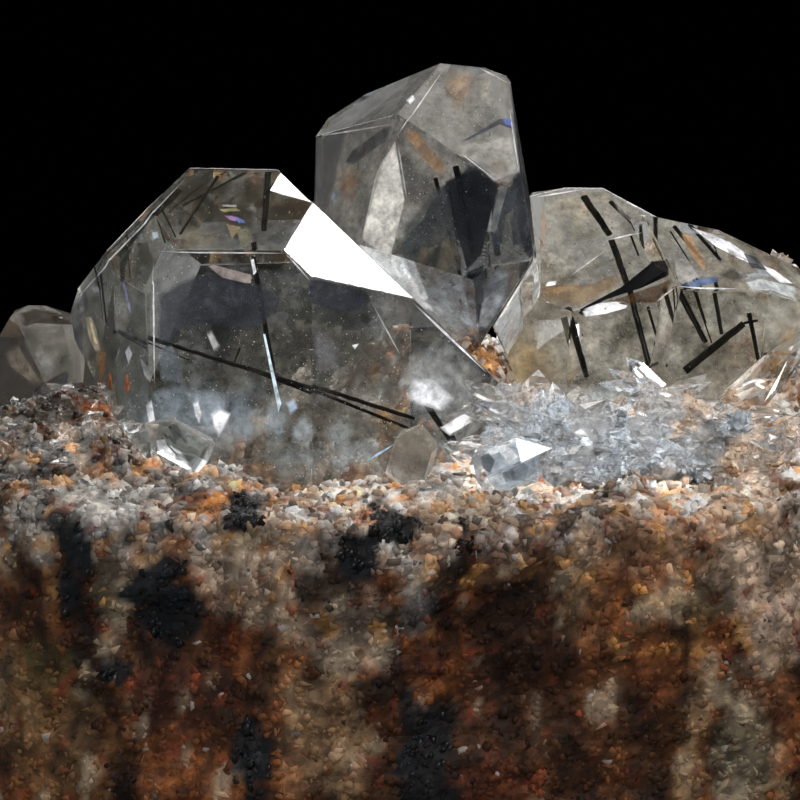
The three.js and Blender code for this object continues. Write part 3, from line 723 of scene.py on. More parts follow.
CELL = 0.24  # the side of a sheet's cells, in mm
SHEET_MARGIN = 0.15  # how far a sheet stays inside its crystal, in mm
SHEET_FADE = 0.5  # over this depth, in mm, its cover fades in
SHEET_WAVE = 0.7  # how far it swells forward and back, in mm


def planes_of(faces):
    """Each face's direction and how far out it lies along it, in mm."""
    directions = [outward_of(turn, lean) for turn, lean, *_ in faces]
    return [(outward, outward @ np.array(face[2:])) for outward, face in zip(directions, faces)]


def depth_inside(points, crystals):
    """How deep each point, in mm, lies inside the nearest of some crystals. Below nought is outside."""
    deepest = np.full(len(points), -1e9)
    for faces in crystals:
        depth = np.min([reach - points @ outward for outward, reach in planes_of(faces)], axis=0)
        deepest = np.maximum(deepest, depth)
    return deepest


def cloud_material(name, thinnest):
    """Milky haze. The tint's fourth part says how much it covers, and wisps thin it down to a share."""
    material, tree, shader = new_material(name)
    shader.inputs["Roughness"].default_value = 0.6
    shader.inputs["IOR"].default_value = 1.1
    tint = new_node(tree, "ShaderNodeVertexColor", layer_name="tint")
    dots = new_node(tree, "ShaderNodeGroup", node_tree=speckle, Scale=1500, Contrast=0.55)
    place = tree.nodes.new("ShaderNodeTexCoord")
    wisps = new_node(tree, "ShaderNodeTexNoise", Scale=650.0, Detail=4.0, Roughness=0.65, Distortion=0.6)
    thin = new_node(tree, "ShaderNodeMapRange")
    thin.inputs["From Min"].default_value = 0.35
    thin.inputs["From Max"].default_value = 0.62
    thin.inputs["To Min"].default_value = thinnest
    cover = new_node(tree, "ShaderNodeMath", operation="MULTIPLY")
    link = tree.links.new
    link(place.outputs["Object"], wisps.inputs["Vector"])
    link(wisps.outputs["Fac"], thin.inputs["Value"])
    mottle = new_node(tree, "ShaderNodeGroup", node_tree=speckle, Scale=420, Contrast=0.45)
    link(tint.outputs["Color"], mottle.inputs["Colour"])
    link(mottle.outputs["Colour"], dots.inputs["Colour"])
    link(dots.outputs["Colour"], shader.inputs["Base Color"])
    link(tint.outputs["Alpha"], cover.inputs[0])
    link(thin.outputs[0], cover.inputs[1])
    link(cover.outputs[0], shader.inputs["Alpha"])
    return material


def within(x, z, outline):
    """Which points lie inside an outline."""
    inside = np.zeros(len(x), bool)
    for (x1, z1), (x2, z2) in zip(outline, outline[1:] + outline[:1]):
        if z1 != z2:
            crosses = (z1 > z) != (z2 > z)
            inside ^= crosses & (x < x1 + (z - z1) * (x2 - x1) / (z2 - z1))
    return inside


def clouded_sheet(name, crystals, x_span, z_span, depth, tones, zones, spots, lump):
    """A sheet inside some crystals. depth gives its y at x and z, in mm.

    tones are the two colours that the haze drifts between, each with how much it covers. A zone is an
    outline, a colour and a cover. A spot is x, z, half width, half height, colour, cover and softness.
    """
    xs = np.arange(*x_span, CELL)
    zs = np.arange(*z_span, CELL)
    x, z = [part.ravel() for part in np.meshgrid(xs, zs)]
    flat = np.stack([x, np.zeros(len(x)), z], axis=1) * MM
    wave = cloud(flat, 4.0, 3.0)
    points = np.stack([x, depth(x, z) + SHEET_WAVE * wave, z], axis=1)
    drift = np.clip(0.5 + 1.3 * cloud(flat, lump, 17.0) + 0.5 * cloud(flat, 0.35 * lump, 29.0), 0, 1)
    (dark, dark_cover), (light, light_cover) = tones
    colours = np.array(dark) + (np.array(light) - np.array(dark)) * drift[:, None]
    cover = dark_cover + (light_cover - dark_cover) * drift
    wobble = 0.35 * cloud(flat, 1.6, 41.0) + 0.2 * cloud(flat, 0.6, 43.0)
    for outline, colour, zone_cover in zones:
        amount = within(x, z, outline) * 1.0
        colours = mix(colours, colour, amount)
        cover = cover + (zone_cover - cover) * amount
    for cx, cz, half_wide, half_tall, colour, spot_cover, edge in spots:
        away = np.hypot((x - cx) / half_wide, (z - cz) / half_tall)
        amount = np.clip((1 + wobble - away) / edge, 0, 1)
        colours = mix(colours, colour, amount)
        cover = cover + (spot_cover - cover) * amount
    inside = depth_inside(points, crystals)
    cover = cover * np.clip((inside - SHEET_MARGIN) / SHEET_FADE, 0, 1)
    wide = len(xs)
    corner = np.arange(len(x)).reshape(len(zs), wide)
    around = [corner[:-1, :-1], corner[:-1, 1:], corner[1:, 1:], corner[1:, :-1]]
    quads = np.stack(around, axis=-1).reshape(-1, 4)
    quads = quads[(inside[quads] > SHEET_MARGIN).all(axis=1)]
    used, faces = np.unique(quads, return_inverse=True)
    sheet = new_thing(name, (points[used] * MM).tolist(), faces.reshape(-1, 4).tolist())
    paint(sheet, colours[used], np.clip(cover[used], 0, 1))
    sheet.visible_shadow = False
    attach(sheet, "root")
    return sheet


haze = cloud_material("milky_haze", 0.6)
# Crisp-edged haze for the flakes, which also carries the painted highlights and dark reflections
sharp_haze_and_painted_glints = cloud_material("sharp_haze_and_painted_glints", 1.0)
# The white of the painted highlights in the crystals
HIGHLIGHT_WHITE = (0.95, 0.96, 1.0)
RUST = (0.42, 0.19, 0.06)

RIGHT_ALL = [
    RIGHT_NEAR_FACES + NEAR_FRONT, RIGHT_SPUR_FACES + NEAR_FRONT, RIGHT_LOW_FACES + NEAR_FRONT,
    RIGHT_FAR_FACES,
]

left_cloud = clouded_sheet(
    "left_cloud", [LEFT_FACES], (-24, 8), (25, 48), lambda x, z: -5.6 + 0.2 * (z - 31),
    (((0.075, 0.077, 0.068), 0.6), ((0.19, 0.192, 0.178), 0.82)),
    [
        ([(-15.3, 41.8), (-8.2, 40.6), (-5.3, 45.2), (-8.6, 48.2), (-15.1, 48.5)],
         (0.050, 0.048, 0.036), 0.85),
        ([(-23.8, 38.8), (-21, 42.3), (-15.3, 41.8), (-16.9, 39.4), (-16.5, 36), (-15.5, 28.5),
          (-18.1, 30.5)],
         (0.11, 0.107, 0.085), 0.75),
        ([(-10.9, 36.5), (-6.7, 37.3), (-2.5, 36.2), (-0.6, 35.6), (-0.7, 29.1), (-5.5, 28.4),
          (-10.9, 29.8), (-12.6, 33.2)],
         (0.155, 0.15, 0.13), 0.9),
    ],
    [
        (-13.0, 30.8, 5.0, 2.6, (0.36, 0.42, 0.47), 0.8, 0.8),
        # painted highlight: a bright inner reflection
        (2.6, 32.9, 3.4, 3.4, (0.50, 0.51, 0.51), 0.9, 0.8),
        (-19.6, 34.1, 0.8, 2.4, RUST, 0.9, 0.8),
    ], 3.2,
)
centre_cloud = clouded_sheet(
    "centre_cloud", [CENTRE_FACES], (-7, 11), (34, 55.3), lambda x, z: 8.4 + 0.06 * (z - 42),
    (((0.20, 0.19, 0.17), 0.75), ((0.42, 0.405, 0.37), 0.9)),
    [
        ([(-6.3, 49.4), (-5.5, 54), (-2.3, 54.2), (0.9, 51.8), (0.5, 51.1), (-5.3, 48.8)],
         (0.26, 0.25, 0.23), 0.9),
        ([(-6.6, 48.7), (0.4, 50.9), (0, 46.7), (-2, 42.2), (-5.3, 44.2)],
         (0.30, 0.28, 0.25), 0.9),
        # painted shade: the dark that this part of the crystal shows of the room behind it
        ([(2.6, 43.8), (4.2, 46.1), (6.2, 47.4), (9.2, 47.1), (9.9, 44.3), (9.5, 39.4),
          (7.4, 36.5), (4.6, 36.5), (4.9, 39.4), (2.8, 39.9), (0.9, 41.6), (1.5, 42.6)],
         (0.03, 0.036, 0.045), 0.55),
    ],
    [
        (-3.0, 46.0, 1.6, 1.4, (0.42, 0.24, 0.12), 0.9, 0.9),
        (-4.5, 45.3, 0.6, 0.6, (0.6, 0.68, 0.8), 0.9, 0.8),
    ], 2.6,
)
right_cloud = clouded_sheet(
    "right_cloud", RIGHT_ALL, (6, 30), (25, 46.5), lambda x, z: -1.9 + 0.6 * (z - 34),
    (((0.25, 0.228, 0.18), 0.82), ((0.44, 0.415, 0.355), 0.95)),
    [],
    [
        (9.4, 34.0, 2.8, 3.4, (0.46, 0.31, 0.14), 0.95, 0.9),
        (13.6, 43.4, 3.0, 2.0, (0.46, 0.40, 0.29), 0.9, 0.9),
        (8.9, 43.4, 0.8, 2.6, (0.42, 0.28, 0.14), 0.9, 0.9),
        (26.0, 34.4, 0.9, 2.4, (0.52, 0.30, 0.10), 0.95, 0.7),
        (14.2, 31.6, 5.0, 1.4, (0.62, 0.66, 0.68), 0.95, 0.9),
    ], 2.4,
)
for sheet in (left_cloud, centre_cloud, right_cloud):
    sheet.data.materials.append(haze)


FILM_SINK = 0.1 * MM  # how deep a film lies under its face
FILM_MARGIN = 0.12 * MM  # how far it stays inside the face's outline


def film(crystal, face):
    """A thin film just under one of a crystal's faces: its corners and its sides."""
    outward, reach = planes_of([face])[0]
    outward = Vector(outward)
    corners, sides = [], []
    for side in crystal.data.polygons:
        in_plane = abs(outward.dot(side.center) - reach * MM) < 0.02 * MM
        if side.normal.dot(outward) > 0.9995 and in_plane and side.area > 0.5 * MM * MM:
            start = len(corners)
            for k in side.vertices:
                point = crystal.data.vertices[k].co
                point = point + FILM_MARGIN * (side.center - point).normalized()
                corners.append((*(point - FILM_SINK * outward),))
            sides.append(tuple(range(start, len(corners))))
    return corners, sides


def films(name, crystal, given):
    """Films under some of a crystal's faces that give each its own tone: painted light and shade."""
    corners, sides, colours, covers = [], [], [], []
    for face, colour, cover in given:
        more, rings = film(crystal, face)
        sides += [tuple(k + len(corners) for k in ring) for ring in rings]
        corners += more
        colours += [colour] * len(more)
        covers += [cover] * len(more)
    thing = new_thing(name, corners, sides)
    paint(thing, colours, covers)
    thing.data.materials.append(haze)
    thing.visible_shadow = False
    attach(thing, "root")


# Painted light and shade: a dark film stands for a face that reflects the dark room, a pale one for a face
# that shows light.
films("left_films", left_crystal, [
    (LEFT_FACES[2], (0.05, 0.048, 0.036), 0.4),
    (LEFT_FACES[4], (0.14, 0.14, 0.115), 0.3),
    (LEFT_FACES[5], (0.25, 0.26, 0.25), 0.25),
    (LEFT_FACES[6], (0.07, 0.07, 0.068), 0.35),
    (LEFT_FACES[7], (0.22, 0.215, 0.18), 0.35),
    (LEFT_FACES[8], (0.26, 0.25, 0.20), 0.35),
    (LEFT_FACES[10], (0.06, 0.06, 0.05), 0.35),
])
films("centre_films", centre_crystal, [
    (CENTRE_FACES[0], (0.42, 0.40, 0.36), 0.25),
    (CENTRE_FACES[1], (0.09, 0.09, 0.085), 0.55),
    (CENTRE_FACES[2], (0.19, 0.185, 0.17), 0.45),
    (CENTRE_FACES[4], (0.02, 0.025, 0.032), 0.5),
    (CENTRE_FACES[5], (0.08, 0.09, 0.11), 0.55),
    (CENTRE_FACES[8], (0.02, 0.024, 0.03), 0.6),
    (CENTRE_FACES[9], (0.30, 0.32, 0.34), 0.6),
])
films("right_films", right_crystals, [
    (NEAR_FRONT[1], (0.36, 0.32, 0.25), 0.4),
    (RIGHT_NEAR_FACES[0], (0.26, 0.25, 0.22), 0.4),
    (RIGHT_LOW_FACES[0], (0.70, 0.71, 0.72), 0.8),
    (RIGHT_FAR_FACES[3], (0.48, 0.45, 0.38), 0.35),
    (RIGHT_FAR_FACES[8], (0.48, 0.36, 0.20), 0.4),
])

# Cracks, rust and rainbow places in the crystals, seen from the front, and painted light among them: the
# white and blue-white ones are painted highlights where the crystals and needles catch the lamps, and the
# dark blue-grey ones are painted dark reflections of inner faces. Each has a colour, how much it covers, how
# far its edge fades in, and its corners as x and z by turns, in mm. They lie close under the crystal's
# front, each at a depth of its own, so that no two of one crystal share a plane.

LEFT_FLAKES_AND_PAINTED_GLINTS = [
    ((0.14, 0.14, 0.11), 0.6, 0.2, (-18.7, 40.5, -17, 39.8, -16.9, 36.2, -18.4, 37.2, -18.7, 38.9)),
    ((0.045, 0.048, 0.06), 0.82, 0.12, (-16.7, 39.7, -15.1, 40.6, -13.1, 41.4, -10.1, 40.7, -8, 39.9,
     -8, 38.9, -9.3, 37.5, -10.5, 37.3, -13.1, 37.7, -15, 37.4, -16.2, 36.2, -16.8, 36.2, -16.8, 39.5)),
    ((0.04, 0.042, 0.055), 0.85, 0.08, (-6.3, 40.8, -5.5, 40.8, -2.3, 39.9, -2.3, 38.9, -2.9, 38.6,
     -4.3, 38.5, -4.9, 38.8, -6.2, 39.2)),
    ((0.22, 0.22, 0.24), 0.45, 0.5, (-6.1, 37.6, -4.8, 37.2, -4.1, 36, -4.2, 34.4, -5.8, 34.3, -6, 36.2)),
    ((0.09, 0.08, 0.065), 0.5, 0.4, (-3.9, 37, -1.4, 37.1, -0.1, 34, 0.1, 32.6, -2.7, 32.4, -3.7, 34.1)),
    ((0.4, 0.41, 0.41), 0.55, 0.5, (-0.1, 34.5, 1.1, 36.1, 2.2, 35.8, 3.2, 34.3, 3.8, 32.5, 3.6, 31.6,
     1.9, 31.5, 0.5, 32.3, 0.1, 33.4)),
    ((0.34, 0.4, 0.45), 0.5, 0.5, (-17.1, 33.1, -15.3, 33.8, -14.6, 32.7, -15.2, 30.9, -16.7, 30.5)),
    ((0.44, 0.5, 0.55), 0.6, 0.5, (-14.6, 33.1, -12.7, 33.5, -11.5, 32.7, -11.9, 31.1, -13.4, 30.5,
     -14.5, 31.5)),
    ((0.28, 0.33, 0.37), 0.55, 0.5, (-11.3, 32.9, -10.1, 32.3, -9.4, 30.4, -10.5, 29.2, -11.8, 29.9,
     -11.8, 31.4)),
    ((0.36, 0.42, 0.46), 0.5, 0.5, (-9.3, 32.3, -7.9, 32.8, -7.4, 31.3, -8.1, 29.5, -9.2, 29.9)),
    ((0.2, 0.22, 0.22), 0.55, 0.5, (-10.2, 29.1, -6.8, 29.5, -4.8, 28.8, -5.7, 28.1, -9.4, 28.1)),
    ((0.3, 0.33, 0.34), 0.5, 0.5, (-4.7, 29.5, -2.3, 30.1, -1.1, 29.2, -1.9, 28.3, -4.1, 28.2)),
    ((0.03, 0.03, 0.02), 0.7, 0.35, (-12.5, 46, -11.1, 46.3, -9.8, 45.3, -10, 43.9, -10.5, 42.9,
     -11.4, 43.4, -11.7, 44.2)),
    ((0.34, 0.3, 0.22), 0.65, 0.35, (-15.3, 43.6, -14.2, 44.3, -13.4, 44, -12.3, 43.9, -12.4, 42.9,
     -13.9, 42.7, -14.9, 42.9)),
    ((0.4, 0.38, 0.28), 0.55, 0.3, (-11.4, 44.1, -10.3, 44.3, -9.9, 43.4, -10.5, 42.8, -10.9, 42.9)),
    ((0.3, 0.15, 0.08), 0.5, 0.3, (-10.4, 47.5, -9.6, 47.8, -9.5, 47, -10.1, 46.9)),
    ((0.03, 0.03, 0.03), 0.7, 0.35, (-2.9, 38.5, -2.3, 38.6, -1.9, 37.9, -2.3, 37.6, -2.7, 37.8)),
    ((0.2, 0.2, 0.19), 0.4, 0.2, (-2.3, 39.7, 0.7, 39, 1.6, 38.2, 0.9, 37.7, -0.6, 37.9, -1.8, 39.1)),
    ((0.05, 0.055, 0.05), 0.7, 0.4, (-22.6, 38.8, -22, 39.6, -21.5, 38.8, -21.7, 38.2, -22.5, 38.2)),
    ((0.3, 0.3, 0.26), 0.6, 0.3, (-21.4, 38.8, -21, 39.2, -20.7, 37.8, -20.8, 36.9, -21.1, 37.5)),
    ((0.62, 0.56, 0.44), 0.8, 0.15, (-22, 37.7, -21.5, 37.8, -21, 36.9, -20.7, 35.4, -21.1, 35.3,
     -21.6, 36, -21.8, 36.8)),
    ((1, 0.84, 0.52), 1, 0.15, (-21.7, 37.5, -21.4, 37.3, -20.9, 35.8, -21.2, 35.9)),
    ((0.006, 0.006, 0.006), 0.95, 0, (-19.2, 40.5, -19.3, 41.6, -18.7, 42.7, -18.5, 42.6, -18.9, 41.4,
     -18.9, 40.5)),
    ((0.45, 0.45, 0.75), 0.8, 0.2, (-19.1, 40.4, -18.9, 40.5, -18.5, 38.9, -18.4, 38.2, -18.6, 38.5)),
    ((0.8, 0.8, 0.9), 0.8, 0.3, (-18.9, 35.7, -18.6, 36.2, -18.3, 35.6, -18.6, 34.7)),
    ((0.5, 0.5, 0.5), 0.7, 0.3, (-17.9, 35.6, -17.2, 34.9, -17, 33.6, -17.5, 34.2)),
    ((0.34, 0.29, 0.27), 0.95, 0.1, (-13.2, 41.7, -12.8, 41.8, -10.1, 41.1, -10.1, 40.5, -10.5, 40.5,
     -12.2, 40.9)),
    ((0.65, 0.65, 0.65), 0.75, 0.5, (-13.3, 37.2, -12.9, 37.4, -12.2, 36.2, -12.7, 35.8, -12.9, 36.2)),
    (HIGHLIGHT_WHITE, 1, 0.35, (-17.4, 32.2, -17, 32.7, -16.7, 31.1, -16.6, 30, -17, 30.1)),
    (HIGHLIGHT_WHITE, 1, 0.35, (-14.2, 32.4, -13.8, 32.6, -13.5, 31.6, -13.7, 30.9, -14, 31.4)),
    (HIGHLIGHT_WHITE, 0.95, 0.4, (-13, 31.7, -12.2, 32.1, -11.5, 31.7, -11.8, 30.9, -12.4, 30, -12.8, 30.7)),
    ((0.55, 0.68, 0.85), 0.8, 0.5, (-7.9, 32.5, -7.2, 32.8, -6.9, 32.1, -7.5, 31.5)),
    (HIGHLIGHT_WHITE, 1, 0.45, (0.3, 32.8, 0.9, 34, 2.2, 33.9, 3.2, 33.1, 3.8, 32.5, 2.9, 31.6, 1.5, 32,
     0.5, 32.4)),
    (HIGHLIGHT_WHITE, 0.95, 0.3, (2.6, 30.5, 4, 31.3, 4.8, 31.6, 5, 30.8, 3.9, 30.3, 3.4, 29.9)),
    (HIGHLIGHT_WHITE, 0.9, 0, (-3.3, 36.3, -2.8, 36.4, -3.1, 36)),
    (HIGHLIGHT_WHITE, 0.9, 0, (-21.4, 39.7, -20.9, 39.9, -20.8, 39.6, -21.3, 39.4)),
    (HIGHLIGHT_WHITE, 0.8, 0.2, (-12.3, 45.7, -11.2, 45.7, -11.2, 45.5, -12.3, 45.6)),
    ((0.75, 0.68, 0.35), 0.8, 0.2, (-12.5, 45.4, -11.2, 45.5, -10.9, 45.3, -12.2, 45.2)),
    ((0.75, 0.42, 0.85), 0.9, 0.2, (-12.1, 45, -11.6, 45, -11, 44.8, -11.3, 44.6, -11.7, 44.7)),
    ((0.25, 0.38, 0.95), 0.9, 0.2, (-11.4, 45, -10.7, 44.7, -10.6, 44.5, -11.1, 44.5)),
    ((0.6, 0.45, 0.28), 0.7, 0.25, (-12, 44.5, -10.8, 44.3, -11.5, 43.4, -11.7, 43.9)),
    ((0.6, 0.7, 0.8), 0.8, 0.4, (-17.1, 43.9, -16.6, 44, -16.5, 43.5, -17, 43.3)),
    (HIGHLIGHT_WHITE, 1, 0, (-10.2, 42.1, -10, 42.2, -9.8, 41.3, -10, 41.1)),
    # painted highlight: the lit side of the long needle
    ((0.72, 0.86, 0.95), 1, 0, (-9.35, 37.1, -9.2, 37.1, -8.75, 35.1, -8.1, 32.4, -8.3, 31.8, -8.45, 32.6,
     -8.95, 35.1)),
    ((0.22, 0.26, 0.3), 0.5, 0.2, (-16.7, 36, -15.6, 36.4, -14.8, 34.9, -15, 33.6, -16.4, 33.9)),
    ((0.035, 0.035, 0.03), 0.6, 0.4, (-10.9, 36, -9.8, 36.7, -8.9, 35.6, -9.4, 33.2, -10.5, 34)),
    ((0.05, 0.05, 0.045), 0.6, 0.5, (-6.8, 33.7, -5.6, 34.5, -4.1, 33.1, -4.4, 31.2, -6, 31)),
    ((0.46, 0.52, 0.56), 0.55, 0.5, (-7.6, 31, -6.5, 32, -5.6, 30.6, -6.3, 29.4, -7.4, 29.7)),
    ((0.36, 0.4, 0.42), 0.5, 0.5, (-5.3, 30.7, -4.1, 31.4, -2.9, 30.5, -3.4, 29.5, -4.8, 29.4)),
    ((0.06, 0.06, 0.055), 0.6, 0.4, (-1.7, 37.3, -0.6, 37.8, 0.7, 36.3, 0.3, 34.8, -0.8, 35.8)),
    ((0.1, 0.09, 0.07), 0.6, 0.4, (3.8, 35.1, 4.8, 34.3, 5.9, 32.4, 5.3, 32.2, 4.2, 33.5)),
]
CENTRE_FLAKES_AND_PAINTED_GLINTS = [
    ((0.028, 0.032, 0.042), 0.9, 0.12, (-4, 47.8, -3.4, 48.7, -1, 50.5, -0.5, 50.6, -0.8, 49.6, -2, 48.7,
     -3.4, 47.6)),
    ((0.42, 0.25, 0.13), 0.7, 0.3, (0.3, 50.7, 1.2, 50.4, 2.2, 49.1, 3.4, 48, 3.5, 47.1, 2.7, 47.2,
     1.6, 48.2, 0.9, 49.2, 0.3, 49.9)),
    ((0.5, 0.33, 0.2), 0.55, 0.5, (3.4, 54.4, 5, 54.6, 5.5, 54.2, 4.8, 52.3, 4.1, 51.2, 3.7, 52.2,
     3.2, 53.4)),
    ((0.28, 0.25, 0.16), 0.5, 0.4, (5.9, 53.7, 6.7, 53.9, 6.3, 52.6, 5.7, 52.2)),
    ((0.86, 0.83, 0.77), 0.8, 0.06, (-0.3, 49.7, 0.4, 45.3, -0.6, 40.9, -2.7, 42.4, -1.7, 47.1)),
    ((0.07, 0.078, 0.08), 0.7, 0.12, (3.2, 46.6, 2.7, 46.5, 0.3, 43.6, 0, 41.5, 1.5, 38.3, 3, 39.2,
     4.8, 40.4, 4.1, 43)),
    ((0.22, 0.19, 0.13), 0.6, 0.4, (1.8, 42.8, 3.2, 43.1, 4.2, 42.6, 4.5, 40.6, 2.9, 39.4, 1.5, 38.9,
     0.9, 41)),
    ((0.014, 0.016, 0.02), 0.9, 0.06, (3.2, 46.8, 5.4, 47.7, 7, 46.7, 6.3, 43.4, 5.8, 41.5, 4.8, 40.4,
     4.1, 43)),
    ((0.05, 0.06, 0.072), 0.8, 0.1, (7.5, 46.3, 8.5, 47, 8.5, 45.1, 7.5, 44.5, 7.2, 42.4, 6.7, 41.2,
     6.3, 43.1, 6.8, 43.1)),
    ((0.33, 0.34, 0.34), 0.85, 0.1, (7.1, 46.6, 7.7, 46.5, 6.7, 43.1, 6.1, 43.2)),
    ((0.48, 0.46, 0.44), 0.6, 0.15, (4.3, 49.2, 8, 50.1, 8.6, 47.4, 7.8, 46.6, 6.8, 46.7, 4.3, 48.8)),
    ((0.01, 0.016, 0.055), 0.95, 0.1, (4.3, 49.5, 7.2, 51.1, 8.1, 51.1, 8.1, 50.4, 7.2, 50.7, 4.8, 49.6)),
    ((0.06, 0.14, 0.55), 0.9, 0.4, (7.3, 51.1, 8.1, 51.1, 8.1, 50.4, 7.5, 50.7)),
    ((0.18, 0.15, 0.11), 0.6, 0.4, (6.3, 48.1, 7.6, 48.4, 7.8, 47.4, 6.7, 47)),
    ((0.5, 0.54, 0.57), 0.8, 0.12, (1.6, 38, 4.4, 39.7, 4.6, 39, 3.6, 36.5)),
    ((0.62, 0.68, 0.72), 0.85, 0.2, (4.1, 36.5, 4.6, 38.9, 6.1, 39.8, 7.1, 41.1, 8.1, 40.5, 7.6, 38.2,
     6.5, 36.1, 5.2, 35.8)),
    ((0.02, 0.022, 0.026), 0.85, 0.1, (4.4, 40.1, 5.8, 40.5, 6, 38.3, 5.6, 36.3, 5.1, 36.6, 4.7, 38.6)),
    (HIGHLIGHT_WHITE, 0.95, 0.3, (5.6, 36.5, 5.8, 38.1, 6.7, 38.9, 7.3, 38.4, 6.8, 36.9, 6.2, 36)),
    ((0.045, 0.055, 0.065), 0.85, 0.08, (4.8, 40.4, 6, 41, 6, 39.8, 5.3, 39.2, 4.7, 39.1)),
    (HIGHLIGHT_WHITE, 0.95, 0.2, (0.4, 52.4, 0.9, 52.8, 1.1, 52.5, 0.7, 52.1)),
    ((0.06, 0.07, 0.085), 0.8, 0.1, (8.2, 46.2, 8.7, 45.7, 9.2, 44.4, 9.3, 42.9, 8.4, 42.2, 8, 42.1,
     7.9, 43.9)),
]
RIGHT_FLAKES_AND_PAINTED_GLINTS = [
    ((0.6, 0.6, 0.62), 0.85, 0.12, (9.5, 42.8, 9.5, 41, 8.6, 39.4, 7.5, 37.4, 7.7, 37.9, 7.8, 40.5,
     8.5, 42)),
    ((0.42, 0.22, 0.08), 0.4, 0.7, (9.8, 45, 10.3, 45.2, 10.5, 43.5, 10.3, 42, 9.9, 42.1)),
    ((0.15, 0.13, 0.085), 0.5, 0.5, (11.9, 43.3, 14.1, 43.5, 14, 42.9, 12.1, 42.5)),
    ((0.38, 0.37, 0.34), 0.4, 0.2, (14.9, 45.9, 15.5, 45.6, 18, 44.4, 17.7, 44, 16.9, 43.7, 15.6, 44.4,
     15, 45.5)),
    ((0.27, 0.16, 0.065), 0.6, 0.35, (9.6, 39.6, 10.9, 39.9, 13.3, 39.9, 15.4, 40.7, 15.9, 40.4,
     15.4, 39.7, 13.1, 38.6, 12.4, 38.2, 10.6, 38.4, 9.5, 38.8)),
    ((0.13, 0.07, 0.03), 0.8, 0.2, (14.3, 38.8, 19, 40.5, 18.9, 39.8, 17.9, 38.7, 16.4, 38.7,
     15.3, 38.7)),
    ((0.005, 0.005, 0.006), 1, 0.04, (13.1, 38.6, 15.4, 39.7, 16.4, 40.4, 17.7, 41.5, 18.7, 41.7,
     18.9, 41.2, 18.8, 40.7, 16.3, 39.5, 14.3, 38.9, 13.3, 38.4, 12.6, 37.9, 12.3, 38.1)),
    ((0.3, 0.24, 0.15), 0.9, 0.1, (17.7, 40.4, 18.9, 41, 18.9, 40.8, 17.8, 40.2)),
    (HIGHLIGHT_WHITE, 1, 0.1, (12.6, 38.2, 13.8, 38.7, 15, 38.8, 15.9, 38.6, 15.8, 38.4, 14.3, 38, 12.8, 37.8)),
    ((0.45, 0.43, 0.42), 0.6, 0.15, (19.1, 41.8, 20, 41.8, 20.9, 40.5, 19.6, 40, 19.2, 40.1)),
    ((0.42, 0.46, 0.5), 0.6, 0.15, (19.4, 44.1, 22.2, 43, 25, 41.6, 27.4, 40, 24.5, 40.2, 23.7, 40.3,
     23.9, 40.9, 23.2, 42, 22.8, 42.4, 20.9, 43.5, 19.5, 43.6)),
    ((0.4, 0.24, 0.12), 0.6, 0.2, (19.6, 43.5, 20.4, 43.4, 21.4, 41.2, 21.3, 40.6, 20.3, 41.9)),
    ((0.045, 0.045, 0.04), 0.7, 0.4, (22.1, 40.7, 23.1, 41.1, 24.5, 40.5, 23.2, 40.2, 22.4, 40.5)),
    ((0.7, 0.74, 0.76), 0.8, 0.2, (23.9, 40.2, 24.6, 40.4, 27.9, 39.6, 27.8, 38.7, 26, 39.5, 24.3, 39.6)),
    ((0.1, 0.15, 0.28), 0.8, 0.3, (19.4, 40, 20.9, 40.5, 22, 40.6, 22.5, 40.5, 21.9, 40.1, 20.2, 39.8)),
    ((0.42, 0.42, 0.36), 0.45, 0.5, (23.2, 39.4, 24.9, 39.3, 27.5, 38.3, 27.6, 37.2, 25.7, 36.8,
     24.4, 38.1)),
    ((0.42, 0.28, 0.12), 0.7, 0.25, (27.7, 37, 26.1, 35.7, 24.9, 34.5, 23.4, 32.6, 23.8, 32, 25.4, 32.5,
     26.4, 33.7, 27.9, 36.1)),
    (HIGHLIGHT_WHITE, 0.9, 0.3, (10.1, 39.8, 10.3, 40.1, 11, 40.2, 10.9, 39.9, 10.3, 39.8)),
    (HIGHLIGHT_WHITE, 0.9, 0.1, (20.4, 43.8, 21.9, 43.3, 24, 42.2, 25.2, 41.2, 24.3, 41.4, 22.1, 42.5)),
    (HIGHLIGHT_WHITE, 0.9, 0.1, (24.9, 41.4, 26.3, 40.8, 27.7, 39.8, 26.6, 40)),
    ((0.02, 0.022, 0.024), 0.85, 0.1, (24, 42.1, 25, 41.7, 25.8, 40.8, 24.5, 41.1)),
    ((0.18, 0.15, 0.11), 0.7, 0.2, (22.8, 42.5, 24.1, 41.8, 25.2, 40.6, 23.9, 40.6, 23, 41.5)),
]
FAR_LEFT_FLAKES_AND_PAINTED_GLINTS = [
    ((0.03, 0.022, 0.015), 0.85, 0.25, (-27.4, 37.2, -26.3, 37.5, -24.3, 37.2, -24.2, 36.5, -25.4, 36.7,
     -27, 36.3)),
    ((0.15, 0.145, 0.13), 0.6, 0.15, (-27.1, 36.3, -24.1, 36.5, -23.6, 34.7, -23.6, 33.6, -25.2, 32.7,
     -27.2, 35.5)),
    ((0.34, 0.35, 0.34), 0.7, 0.45, (-26.4, 34.6, -25.7, 35.1, -24.7, 34.1, -24.5, 33.5, -25.2, 32.8,
     -25.8, 33.7)),
    ((0.36, 0.3, 0.24), 0.6, 0.3, (-28.4, 34.5, -27.3, 35.3, -25.5, 32.6, -26.1, 32.2, -28.1, 33.5)),
    ((0.035, 0.04, 0.055), 0.85, 0.1, (-25.9, 32.1, -23.9, 33.3, -23.6, 33.1, -23.7, 31.8, -26.4, 31.5)),
    (HIGHLIGHT_WHITE, 0.8, 0.2, (-24.5, 37, -24.2, 37, -24.2, 36.9)),
]
